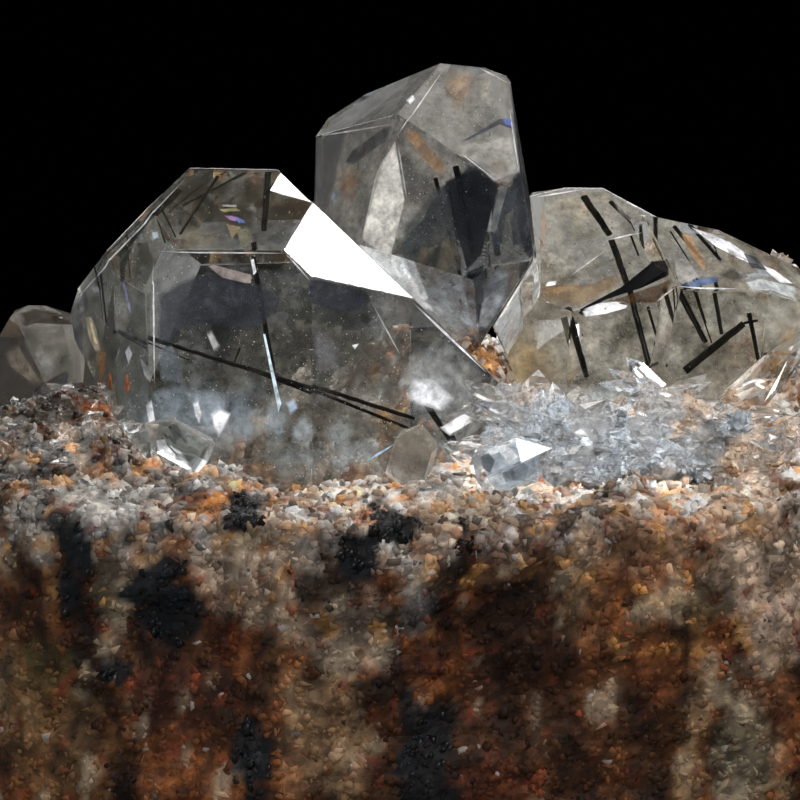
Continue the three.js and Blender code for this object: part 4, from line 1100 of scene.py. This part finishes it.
RIM_RIGHT_FLAKES_AND_PAINTED_GLINTS = [
    ((0.05, 0.06, 0.07), 0.8, 0.2, (5.4, 29.1, 6, 29.4, 6.5, 28.9, 6.1, 28, 5.6, 28.2)),
    (HIGHLIGHT_WHITE, 0.9, 0.2, (6.5, 29.8, 7.2, 30, 7.5, 29.7, 6.8, 29.3)),
    ((0.2, 0.24, 0.28), 0.7, 0.15, (7.3, 28.4, 8.1, 29, 8.7, 28.6, 8.5, 27.5, 7.6, 27.5)),
    ((0.7, 0.76, 0.82), 0.8, 0.2, (5.8, 27.8, 6.8, 28.4, 7.3, 27.3, 6.4, 27)),
    (HIGHLIGHT_WHITE, 0.95, 0.3, (6.8, 29.3, 7.6, 29.8, 8.1, 29.2, 7.4, 28.5)),
    ((0.3, 0.34, 0.38), 0.6, 0.2, (8.1, 28.8, 9, 29.2, 9.3, 28.2, 8.4, 27.6)),
    ((0.06, 0.07, 0.08), 0.6, 0.3, (6.8, 28.2, 7.6, 28.4, 8, 27.6, 7, 27.4)),
    ((0.5, 0.6, 0.7), 0.8, 0.3, (8.4, 29.8, 9.3, 30, 9.7, 29.6, 8.8, 29.1)),
]
RIM_LEFT_FLAKES_AND_PAINTED_GLINTS = [
    ((0.05, 0.055, 0.05), 0.7, 0.25, (-15.7, 31.2, -15.1, 31.4, -14.6, 30.5, -15.3, 29.9)),
    (HIGHLIGHT_WHITE, 0.9, 0.2, (-16.5, 30.2, -15.8, 30.4, -15.7, 29.7, -16.4, 29.4)),
    ((0.35, 0.38, 0.36), 0.6, 0.2, (-14.6, 30.8, -13.4, 30.3, -12.7, 29.9, -13.6, 29.4, -14.5, 29.8)),
    ((0.05, 0.06, 0.06), 0.6, 0.2, (-15.2, 29.4, -13.8, 29.1, -14.2, 28.7, -15.3, 28.8)),
]
# Painted highlights: thin bright slivers along edges and healed cracks of the crystals, where these catch
# the lamps.
PAINTED_GLINTS = [  # crystal, colour, cover, its two ends as x and z, and its width in mm
    ("left", HIGHLIGHT_WHITE, 1, (0.9, 39.1), (6, 34.2), 0.18),
    ("left", HIGHLIGHT_WHITE, 0.8, (-16.9, 42.1), (-16.8, 33.6), 0.11),
    ("left", (0.4, 0.65, 0.95), 0.95, (-2.3, 28.4), (-0.4, 29.5), 0.15),
    ("left", HIGHLIGHT_WHITE, 0.8, (-14.8, 47.5), (-22.8, 38.7), 0.1),
    ("left", HIGHLIGHT_WHITE, 0.7, (-16.5, 42.6), (-7.8, 42.6), 0.1),
    ("left", HIGHLIGHT_WHITE, 0.7, (-7.8, 42.6), (-6.1, 40.7), 0.1),
    ("left", HIGHLIGHT_WHITE, 0.5, (-1.9, 39.1), (0, 35.6), 0.1),
    ("centre", HIGHLIGHT_WHITE, 0.8, (4.3, 48.8), (7.1, 46.7), 0.11),
    ("centre", HIGHLIGHT_WHITE, 0.7, (7.9, 51.7), (8.5, 47.2), 0.1),
    ("centre", HIGHLIGHT_WHITE, 0.7, (-0.3, 49.8), (3.1, 54.5), 0.1),
    ("centre", HIGHLIGHT_WHITE, 0.6, (-6, 49.6), (-0.3, 50.8), 0.1),
    ("centre", HIGHLIGHT_WHITE, 0.6, (5.7, 54.7), (7.8, 53.6), 0.1),
    ("centre", HIGHLIGHT_WHITE, 0.5, (-0.2, 49.6), (0.5, 45.4), 0.1),
    ("right", HIGHLIGHT_WHITE, 0.8, (17.9, 38.8), (19.1, 39.9), 0.11),
    ("right", HIGHLIGHT_WHITE, 0.6, (11.9, 40.5), (14.5, 42.2), 0.1),
    ("right", HIGHLIGHT_WHITE, 0.6, (14.5, 42.8), (17.1, 43.4), 0.1),
    ("right", HIGHLIGHT_WHITE, 0.7, (9.7, 45.7), (13, 46.2), 0.1),
    ("right", HIGHLIGHT_WHITE, 0.7, (15, 45.9), (18.1, 44.4), 0.11),
    ("right", HIGHLIGHT_WHITE, 0.8, (19.2, 39.9), (23.6, 39.8), 0.11),
]
FAR_IN_FRONT = -60 * MM  # nothing of the specimen reaches this far to the front
FLAKE_GAP = 0.05 * MM  # the least depth of a thin shape under its face
PAINTED_GLINT_SINK = 0.08  # how much deeper the bright slivers lie, in mm


def under_front(crystal, x, z, sink):
    """The place a little way in from a crystal's front at x and z in mm, or just inside its outline."""
    middle = points_of(crystal).mean(axis=0)
    aim = np.array((x, 0, z)) * MM
    for nearer in np.arange(0, 0.4, 0.02):  # as a share of the way to the crystal's middle
        start = aim + nearer * (middle - aim)
        start[1] = FAR_IN_FRONT
        found, place, normal, _ = crystal.ray_cast(start, (0, 1, 0))
        if found:
            return place + Vector((0, sink * MM, 0)) - FLAKE_GAP * normal
    raise ValueError("no crystal at %s, %s" % (x, z))


def sliver(start, end, width):
    """The corners of a long thin shape that is pointed at both ends."""
    start, end = np.array(start), np.array(end)
    along = end - start
    across = 0.5 * width * np.array((-along[1], along[0])) / np.linalg.norm(along)
    return [
        start, start + 0.35 * along + across, start + 0.7 * along + 0.8 * across,
        end, start + 0.7 * along - 0.8 * across, start + 0.35 * along - across,
    ]


def thin_shapes(name, given):
    """One mesh of thin shapes, some of them fading out at their edge."""
    corners, sides, colours, covers = [], [], [], []
    for colour, cover, fade, ring in given:
        ring = np.array(ring)
        inner = ring + fade * (ring.mean(axis=0) - ring)
        outer_start = len(corners)
        inner_start = outer_start + len(ring)
        corners += ring.tolist() + inner.tolist()
        colours += [colour] * 2 * len(ring)
        covers += [0] * len(ring) + [cover] * len(ring)
        sides.append(tuple(range(inner_start, inner_start + len(ring))))
        if fade:
            for k in range(len(ring)):
                n = (k + 1) % len(ring)
                sides.append((outer_start + k, outer_start + n, inner_start + n, inner_start + k))
    thing = new_thing(name, corners, sides)
    paint(thing, colours, covers)
    thing.data.materials.append(sharp_haze_and_painted_glints)
    thing.visible_shadow = False
    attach(thing, "root")


marks = []
bpy.context.view_layer.update()
for crystal, given, first_sink, last_sink in (
    (left_crystal, LEFT_FLAKES_AND_PAINTED_GLINTS, 0.42, 0.12),
    (centre_crystal, CENTRE_FLAKES_AND_PAINTED_GLINTS, 0.42, 0.12),
    (right_crystals, RIGHT_FLAKES_AND_PAINTED_GLINTS, 0.42, 0.12),
    (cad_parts["far_left_quartz"], FAR_LEFT_FLAKES_AND_PAINTED_GLINTS, 0.42, 0.12),
    (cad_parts["rim_quartz_right"], RIM_RIGHT_FLAKES_AND_PAINTED_GLINTS, 0.1, 0.38),
    (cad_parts["rim_quartz_left"], RIM_LEFT_FLAKES_AND_PAINTED_GLINTS, 0.1, 0.22),
):
    for sink, (colour, cover, fade, corners) in zip(np.linspace(first_sink, last_sink, len(given)), given):
        ring = [under_front(crystal, x, z, sink) for x, z in zip(corners[::2], corners[1::2])]
        marks.append((colour, cover, fade, ring))
crystal_at = {"left": left_crystal, "centre": centre_crystal, "right": right_crystals}
# The painted highlights go in with the flakes, as bright slivers under the crystals' fronts.
for side, colour, cover, start, end, width in PAINTED_GLINTS:
    ring = [under_front(crystal_at[side], x, z, PAINTED_GLINT_SINK) for x, z in sliver(start, end, width)]
    marks.append((colour, cover, 0, ring))
thin_shapes("sharp_flakes_and_painted_glints", marks)


# Two drops of iron rust in a crack at the left crystal's left side.

rust_drop = grain_material("rust_drop", 0.15, 2600, 0.5, 0.3)
RUST_DROPS = [  # the middle and the half sizes of each, in mm
    ((-19.9, -8.6, 33.6), (0.16, 0.14, 0.6)),
    ((-18.6, -9.6, 33.5), (0.2, 0.16, 0.62)),
]
for k, (place, size) in enumerate(RUST_DROPS):
    bpy.ops.object.select_all(action="DESELECT")
    bpy.ops.mesh.primitive_ico_sphere_add(subdivisions=3, radius=1, location=(0, 0, 0))
    drop = bpy.context.object
    drop.name = "rust_drop_%d" % (k + 1)
    drop.data.name = drop.name
    shape = points_of(drop)
    shape[:, :2] *= (1.15 - 0.55 * shape[:, 2:])
    shape = shape * np.array(size) * MM + np.array(place) * MM
    drop.data.vertices.foreach_set("co", shape.ravel())
    glow = np.clip(0.5 + 1.6 * cloud(shape, 0.35, 7.0), 0, 1)
    paint(drop, mix(np.tile((0.17, 0.022, 0.006), (len(shape), 1)), (0.62, 0.17, 0.02), glow))
    drop.data.materials.append(rust_drop)
    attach(drop, "root")


speck = grain_material("specks", 0.35, 5000, 0.3, 0.2)
SPECK_DEPTH = 0.3  # the least depth of a speck inside its crystal, in mm


def specks(name, crystals, low, high, count, sizes, tone, draw):
    """Tiny eight-sided grains, scattered through some crystals, each a little lighter or darker."""
    corners = np.array([(1, 0, 0), (-1, 0, 0), (0, 1, 0), (0, -1, 0), (0, 0, 1), (0, 0, -1)], float)
    above = [(0, 2, 4), (2, 1, 4), (1, 3, 4), (3, 0, 4)]
    below = [(2, 0, 5), (1, 2, 5), (3, 1, 5), (0, 3, 5)]
    octahedron = [(corners, np.array(above + below))]
    places = draw.uniform(low, high, (count * 4, 3))
    places = places[depth_inside(places, crystals) > SPECK_DEPTH][:count] * MM
    size = draw.uniform(*sizes, (len(places), 3)) * MM
    grains, owner = mesh_of_copies(name, octahedron, places, turns(draw, len(places)), size)
    paint(grains, (np.array(tone) * draw.uniform(0.5, 1.1, (len(places), 1)))[owner])
    grains.data.materials.append(speck)
    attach(grains, "root")


speck_draw = np.random.default_rng(57)
for name, crystals, low, high, count in (
    ("left", [LEFT_FACES], (-24, -13, 25), (8, -5, 48), 900),
    ("centre", [CENTRE_FACES], (-7, 0, 34), (10, 8, 55), 700),
    ("right", RIGHT_ALL, (7, -8, 26), (30, 2, 46), 700),
):
    specks(name + "_white_specks", crystals, low, high, count, (0.02, 0.055), (0.9, 0.92, 0.95), speck_draw)
    dark = (0.02, 0.018, 0.015)
    specks(name + "_dark_specks", crystals, low, high, count // 5, (0.03, 0.09), dark, speck_draw)


# ---- The smoky crystal at the far left
# A stout crystal of smoky quartz that stands in the rock behind the large left one, cloudy inside.

FAR_LEFT_FACES = [
    (14, 27, -25.3, 0.1, 32.5), (0, 55, -26.4, 2.2, 36.8), (-40, 0, -25.3, 0.1, 32.5),
    (14, -5, -26.6, -0.4, 34.5), (60, 24, -23.4, 2, 37), (85, 0, -22.4, 3, 33), (90, 69, -24, 3, 37.2),
    (-80, 63, -27.8, 3, 37.2), (-90, 31, -28.7, 3, 35.7), (-80, -4, -30.6, 2, 33),
    (178, 60, -26, 3.4, 37.9), (180, 0, -26, 8, 33), (0, -90, 0, 0, 26),
]
smoky_quartz = clear_material("smoky_quartz", (0.64, 0.59, 0.52), 150, 0.02, 0.2)
far_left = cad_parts["far_left_quartz"]
far_left.data.materials.clear()
far_left.data.materials.append(smoky_quartz)
far_left.visible_shadow = False
far_left_cloud = clouded_sheet(
    "far_left_cloud", [FAR_LEFT_FACES], (-31, -22), (26, 38.5), lambda x, z: 1.6 + 0.35 * (z - 34),
    (((0.06, 0.052, 0.042), 0.7), ((0.19, 0.18, 0.155), 0.9)),
    [], [(-27.5, 34.6, 1.2, 0.9, (0.3, 0.3, 0.29), 0.9, 0.9)], 2.4,
)
far_left_cloud.data.materials.append(haze)


def cloudy_core(node, share, colour, cover):
    """A cloudy heart inside a small crystal: its own shape, drawn in towards its middle."""
    core = merged_copy(node, node + "_core")
    points = points_of(core)
    middle = points.mean(axis=0)
    core.data.vertices.foreach_set("co", (middle + share * (points - middle)).ravel())
    paint(core, colour, cover)
    core.data.materials.append(haze)
    core.visible_shadow = False
    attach(core, "root")


cloudy_core("far_left_quartz", 0.9, (0.14, 0.125, 0.105), 0.3)


# ---- The tourmaline needles
# Black tourmaline, in long rods with grooves down their length, thinner towards their blunt points.
# They grew first, and the quartz closed round them. Each one is rebuilt finer from its solid.

NEEDLE_RIBS = 9  # the rounded ribs between the grooves
NEEDLE_TAPER = 0.18  # how much thinner a needle is at its point
UNEVENNESS = 0.1  # how much its thickness and its course wander, as a share of its thickness


def tourmaline_material():
    """Black, with a brown cast in places."""
    material, tree, shader = new_material("black_tourmaline")
    shader.inputs["Roughness"].default_value = 0.16
    shader.inputs["IOR"].default_value = 1.25
    place = tree.nodes.new("ShaderNodeTexCoord")
    spots = new_node(tree, "ShaderNodeTexNoise", Scale=900.0, Detail=3.0)
    shade = tree.nodes.new("ShaderNodeValToRGB")
    shade.color_ramp.elements[0].position = 0.35
    shade.color_ramp.elements[0].color = (0.0025, 0.003, 0.003, 1)
    shade.color_ramp.elements[1].position = 0.75
    shade.color_ramp.elements[1].color = (0.016, 0.013, 0.008, 1)
    rise = new_node(tree, "ShaderNodeBump", Strength=0.25, Distance=0.02 * MM)
    link = tree.links.new
    link(place.outputs["Object"], spots.inputs["Vector"])
    link(spots.outputs["Fac"], shade.inputs["Fac"])
    link(shade.outputs["Color"], shader.inputs["Base Color"])
    link(spots.outputs["Fac"], rise.inputs["Height"])
    link(rise.outputs["Normal"], shader.inputs["Normal"])
    return material


def rods(name, ends, ribs, steps, draw):
    """One mesh of grooved rods, each from a foot to a point, with its thickness at the foot."""
    points, faces = [], []
    around = 2 * ribs
    for foot, tip, thick in ends:
        along = tip - foot
        axis = along / np.linalg.norm(along)
        side = np.cross(axis, (0.0, 0.0, 1.0) if abs(axis[2]) < 0.9 else (0.0, 1.0, 0.0))
        side /= np.linalg.norm(side)
        other = np.cross(axis, side)
        angles = np.arange(around) * math.tau / around + draw.uniform(0, math.tau)
        low = draw.uniform(0.78, 0.9, around)
        high = draw.uniform(0.93, 1.0, around)
        groove = np.where(np.arange(around) % 2, low, high)
        start = len(points)
        for step in range(steps + 1):
            t = step / steps
            uneven = 1 + UNEVENNESS * draw.uniform(-0.5, 0.5)
            radius = 0.5 * thick * (1 - NEEDLE_TAPER * t) * groove * uneven
            wander = thick * UNEVENNESS * draw.uniform(-0.4, 0.4, 2) * (0 < step < steps)
            middle = foot + t * along + wander[0] * side + wander[1] * other
            outward = np.cos(angles)[:, None] * side + np.sin(angles)[:, None] * other
            points.extend(middle + radius[:, None] * outward)
        for step in range(steps):
            for k in range(around):
                a = start + step * around + k
                b = start + step * around + (k + 1) % around
                faces.append((a, b, b + around, a + around))
        faces.append(tuple(start + k for k in reversed(range(around))))
        faces.append(tuple(start + steps * around + k for k in range(around)))
    return new_thing(name, [tuple(p) for p in points], faces)


def ends_of(node):
    """The foot, the point and the thickness of a rod's solid, from its mesh."""
    points = points_of(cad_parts[node])
    middle = points.mean(axis=0)
    axis = np.linalg.svd(points - middle, full_matrices=False)[2][0]
    reach = (points - middle) @ axis
    away = np.linalg.norm(points - middle - reach[:, None] * axis, axis=1)
    low, high = reach.min(), reach.max()
    wide_low = away[reach < low + 0.3 * (high - low)].max()
    wide_high = away[reach > high - 0.3 * (high - low)].max()
    foot, tip = middle + low * axis, middle + high * axis
    if wide_high > wide_low:
        foot, tip = tip, foot
    return foot, tip, 2 * max(wide_low, wide_high)


tourmaline = tourmaline_material()
needle_draw = np.random.default_rng(31)
for node_name in [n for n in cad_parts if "_needle_" in n]:
    foot, tip, thick = ends_of(node_name)
    steps = max(4, int(np.linalg.norm(tip - foot) / (0.6 * MM)))
    rod = rods(node_name + "_grooved", [(foot, tip, thick)], NEEDLE_RIBS, steps, needle_draw)
    rod.data.materials.append(tourmaline)
    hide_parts(node_name)
    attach(rod, "root")

HAIRS = [  # from, to and thickness of needles too thin for a solid, in mm
    ((-10.9, -7.4, 35.7), (-11.4, -7.6, 34.4), 0.14),
    ((-21.2, -6.6, 41.3), (-20.4, -6.9, 37.7), 0.12),
    ((-16.5, -6.2, 44.9), (-15.4, -6.4, 42.4), 0.16),
    ((-19.2, -7.6, 36.9), (-14.4, -8.0, 34.9), 0.12),
    ((-13.5, -5.2, 46.6), (-16.0, -5.6, 44.2), 0.12),
    ((-17.4, -5.4, 44.0), (-20.9, -6.0, 41.0), 0.16),
    ((-18.5, -5.5, 43.6), (-18.0, -6.6, 40.1), 0.12),
    ((17.0, -1.5, 43.7), (17.0, -1.8, 42.7), 0.22),
    ((16.3, -1.2, 43.0), (16.8, -1.9, 41.4), 0.2),
    ((20.4, -4.4, 39.6), (21.7, -4.8, 35.9), 0.14),
    ((21.8, -2.2, 43.0), (22.3, -3.0, 41.1), 0.14),
    ((23.9, -5.0, 37.3), (24.9, -5.0, 37.5), 0.22),
    ((19.0, -0.8, 42.7), (20.2, -2.6, 40.6), 0.14),
    ((16.6, -5.2, 33.9), (18.6, -5.4, 34.4), 0.3),
    ((17.0, -5.4, 34.4), (18.2, -5.0, 33.7), 0.34),
    ((4.4, 7.4, 45.6), (5.3, 7.2, 39.3), 0.12),
]


def in_metres(given):
    return [(np.array(foot) * MM, np.array(tip) * MM, thick * MM) for foot, tip, thick in given]


hairs = rods("hair_needles", in_metres(HAIRS), 3, 6, needle_draw)
hairs.data.materials.append(tourmaline)
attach(hairs, "root")


# ---- The small crystals on the rim
# Three stubby quartz crystals that grew out over the edge of the rock. The left one has two short
# tourmaline needles in it.

rim_quartz = clear_material("rim_quartz", (0.78, 0.78, 0.75), 90, 0.16, 0.5)
for node_name in ("rim_quartz_left", "rim_quartz_middle", "rim_quartz_right"):
    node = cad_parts[node_name]
    node.data.materials.clear()
    node.data.materials.append(rim_quartz)
    node.visible_shadow = False
cloudy_core("rim_quartz_left", 0.64, (0.22, 0.24, 0.22), 0.45)
cloudy_core("rim_quartz_middle", 0.88, (0.26, 0.235, 0.19), 0.6)
cloudy_core("rim_quartz_right", 0.66, (0.52, 0.60, 0.68), 0.7)
RIM_HAIRS = [  # from, to and thickness, in mm
    ((-15.6, -14.6, 30.9), (-14.2, -14.8, 29.6), 0.2),
    ((-15.9, -14.5, 30.4), (-15.1, -14.7, 29.3), 0.16),
]
rim_hairs = rods("rim_hairs", in_metres(RIM_HAIRS), 3, 4, needle_draw)
rim_hairs.data.materials.append(tourmaline)
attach(rim_hairs, "root")


# ---- The druse
# A crust of jumbled small quartz points, clear to bluish white, at the feet of the right-hand crystals.

def point_shape(draw):
    """A six-sided crystal one long, with a pointed end."""
    angles = np.arange(6) * math.tau / 6
    ring = np.stack([np.cos(angles), np.sin(angles)], axis=1) * draw.uniform(0.8, 1.1, (6, 1)) * 0.2
    low = np.column_stack([ring, np.zeros(6)])
    high = np.column_stack([ring * 0.94, draw.uniform(0.62, 0.74, 6)])
    corners = np.concatenate([low, high, [(draw.uniform(-0.04, 0.04), draw.uniform(-0.04, 0.04), 1)]])
    sides = []
    for k in range(6):
        n = (k + 1) % 6
        sides += [(k, n, 6 + n), (k, 6 + n, 6 + k), (6 + k, 6 + n, 12)]
    sides += [(0, k + 1, k) for k in range(1, 5)]
    return corners, np.array(sides)


def turned_to(directions, draw):
    """Matrices that turn an upright thing along each direction, and spin it."""
    spin = draw.uniform(0, math.tau, len(directions))
    matrices = []
    for towards, angle in zip(directions, spin):
        turn = Vector(towards).to_track_quat("Z", "Y").to_matrix() @ Matrix.Rotation(angle, 3, "Z")
        matrices.append(turn)
    return np.array(matrices)


SUNK_SHARE = 0.3  # how much of a small crystal's length is in its bed


def small_points(name, bed, count, lengths, wanted, spread, seed):
    """Small pointed crystals that grow out of a bed, leaning a little this way and that."""
    draw = np.random.default_rng(seed)
    places, normals = scattered(bed, draw, count, wanted)
    towards = normals + draw.normal(scale=spread, size=(count, 3))
    towards /= np.linalg.norm(towards, axis=1)[:, None]
    length = draw.uniform(*lengths, count) * MM
    girth = draw.uniform(1.1, 2.2, count) * length
    size = np.stack([girth, girth, length], axis=1)
    places = places - SUNK_SHARE * towards * length[:, None]
    shapes = [point_shape(draw) for _ in range(6)]
    crystals, _ = mesh_of_copies(name, shapes, places, turned_to(towards, draw), size)
    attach(crystals, "root")
    return crystals


def druse_colours(points):
    """Bluish white, with beige and rusty places."""
    broad = cloud(points, 3.2, 61.0)
    fine = cloud(points, 0.9, 67.0)
    colours = np.tile(np.array((0.52, 0.57, 0.62)), (len(points), 1))
    warm = np.clip((points[:, 0] / MM - 17) / 6, 0, 1)
    colours = mix(colours, (0.58, 0.44, 0.32), np.clip(2.2 * broad + 0.1 + 0.7 * warm, 0, 0.9))
    colours = mix(colours, (0.20, 0.21, 0.22), np.clip(2.4 * fine - 0.3, 0, 0.8))
    return mix(colours, (0.55, 0.27, 0.10), np.clip(3 * broad * (0.5 + fine) - 0.5, 0, 0.8))


bed = merged_copy("druse_crust", "druse_bed")
finer = bed.modifiers.new("finer", "REMESH")
finer.mode = "VOXEL"
finer.voxel_size = 0.3 * MM
relief(bed, "VORONOI", 1.1, -0.5)
apply_modifiers(bed)
paint(bed, druse_colours(points_of(bed)))
milky = grain_material("druse_bed", 0.3, 1800, 0.3, 0.5)
crumbs(milky, 0.5, 0.35)
bed.data.materials.append(milky)
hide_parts("druse_crust")
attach(bed, "root")
druse_quartz = clear_material("druse_quartz", (0.88, 0.92, 0.96), 50, 0.12, 0.3)


def facing_front_or_up(p, n):
    return (n[:, 2] > -0.5) & (n[:, 1] < 0.6)


druse = small_points("druse_points", bed, 240, (1.5, 3.3), facing_front_or_up, 0.45, 71)
druse.data.materials.append(druse_quartz)
druse.visible_shadow = False

# Loose grains lie between the points, and more small crystals stand in the rock at the far left.
DRUSE_GRAINS = 2600
draw = np.random.default_rng(77)
places, normals = scattered(bed, draw, DRUSE_GRAINS, lambda p, n: n[:, 2] > -0.4)
size = draw.uniform(0.16, 0.42, (DRUSE_GRAINS, 1)) * draw.uniform(0.8, 1.15, (DRUSE_GRAINS, 3)) * MM
shapes = grain_shapes(draw)
spins = turns(draw, DRUSE_GRAINS)
druse_grains, owner = mesh_of_copies("druse_grains", shapes, places, spins, size)
paint(druse_grains, (druse_colours(places) * draw.uniform(0.7, 1.3, (DRUSE_GRAINS, 1)))[owner])
druse_grains.data.materials.append(glossy_grains)
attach(druse_grains, "root")


def at_far_left(p, n):
    """The rock's top within 5 mm or so of the place where the small smoky crystals stand."""
    return (abs(p[:, 0] + 23.5 * MM) < 5.5 * MM) & (abs(p[:, 1] + 9 * MM) < 5 * MM) & (n[:, 2] > 0.6)


left_points = small_points("left_points", rock, 60, (0.9, 1.9), at_far_left, 0.45, 79)
left_points.data.materials.append(rim_quartz)
left_points.visible_shadow = False
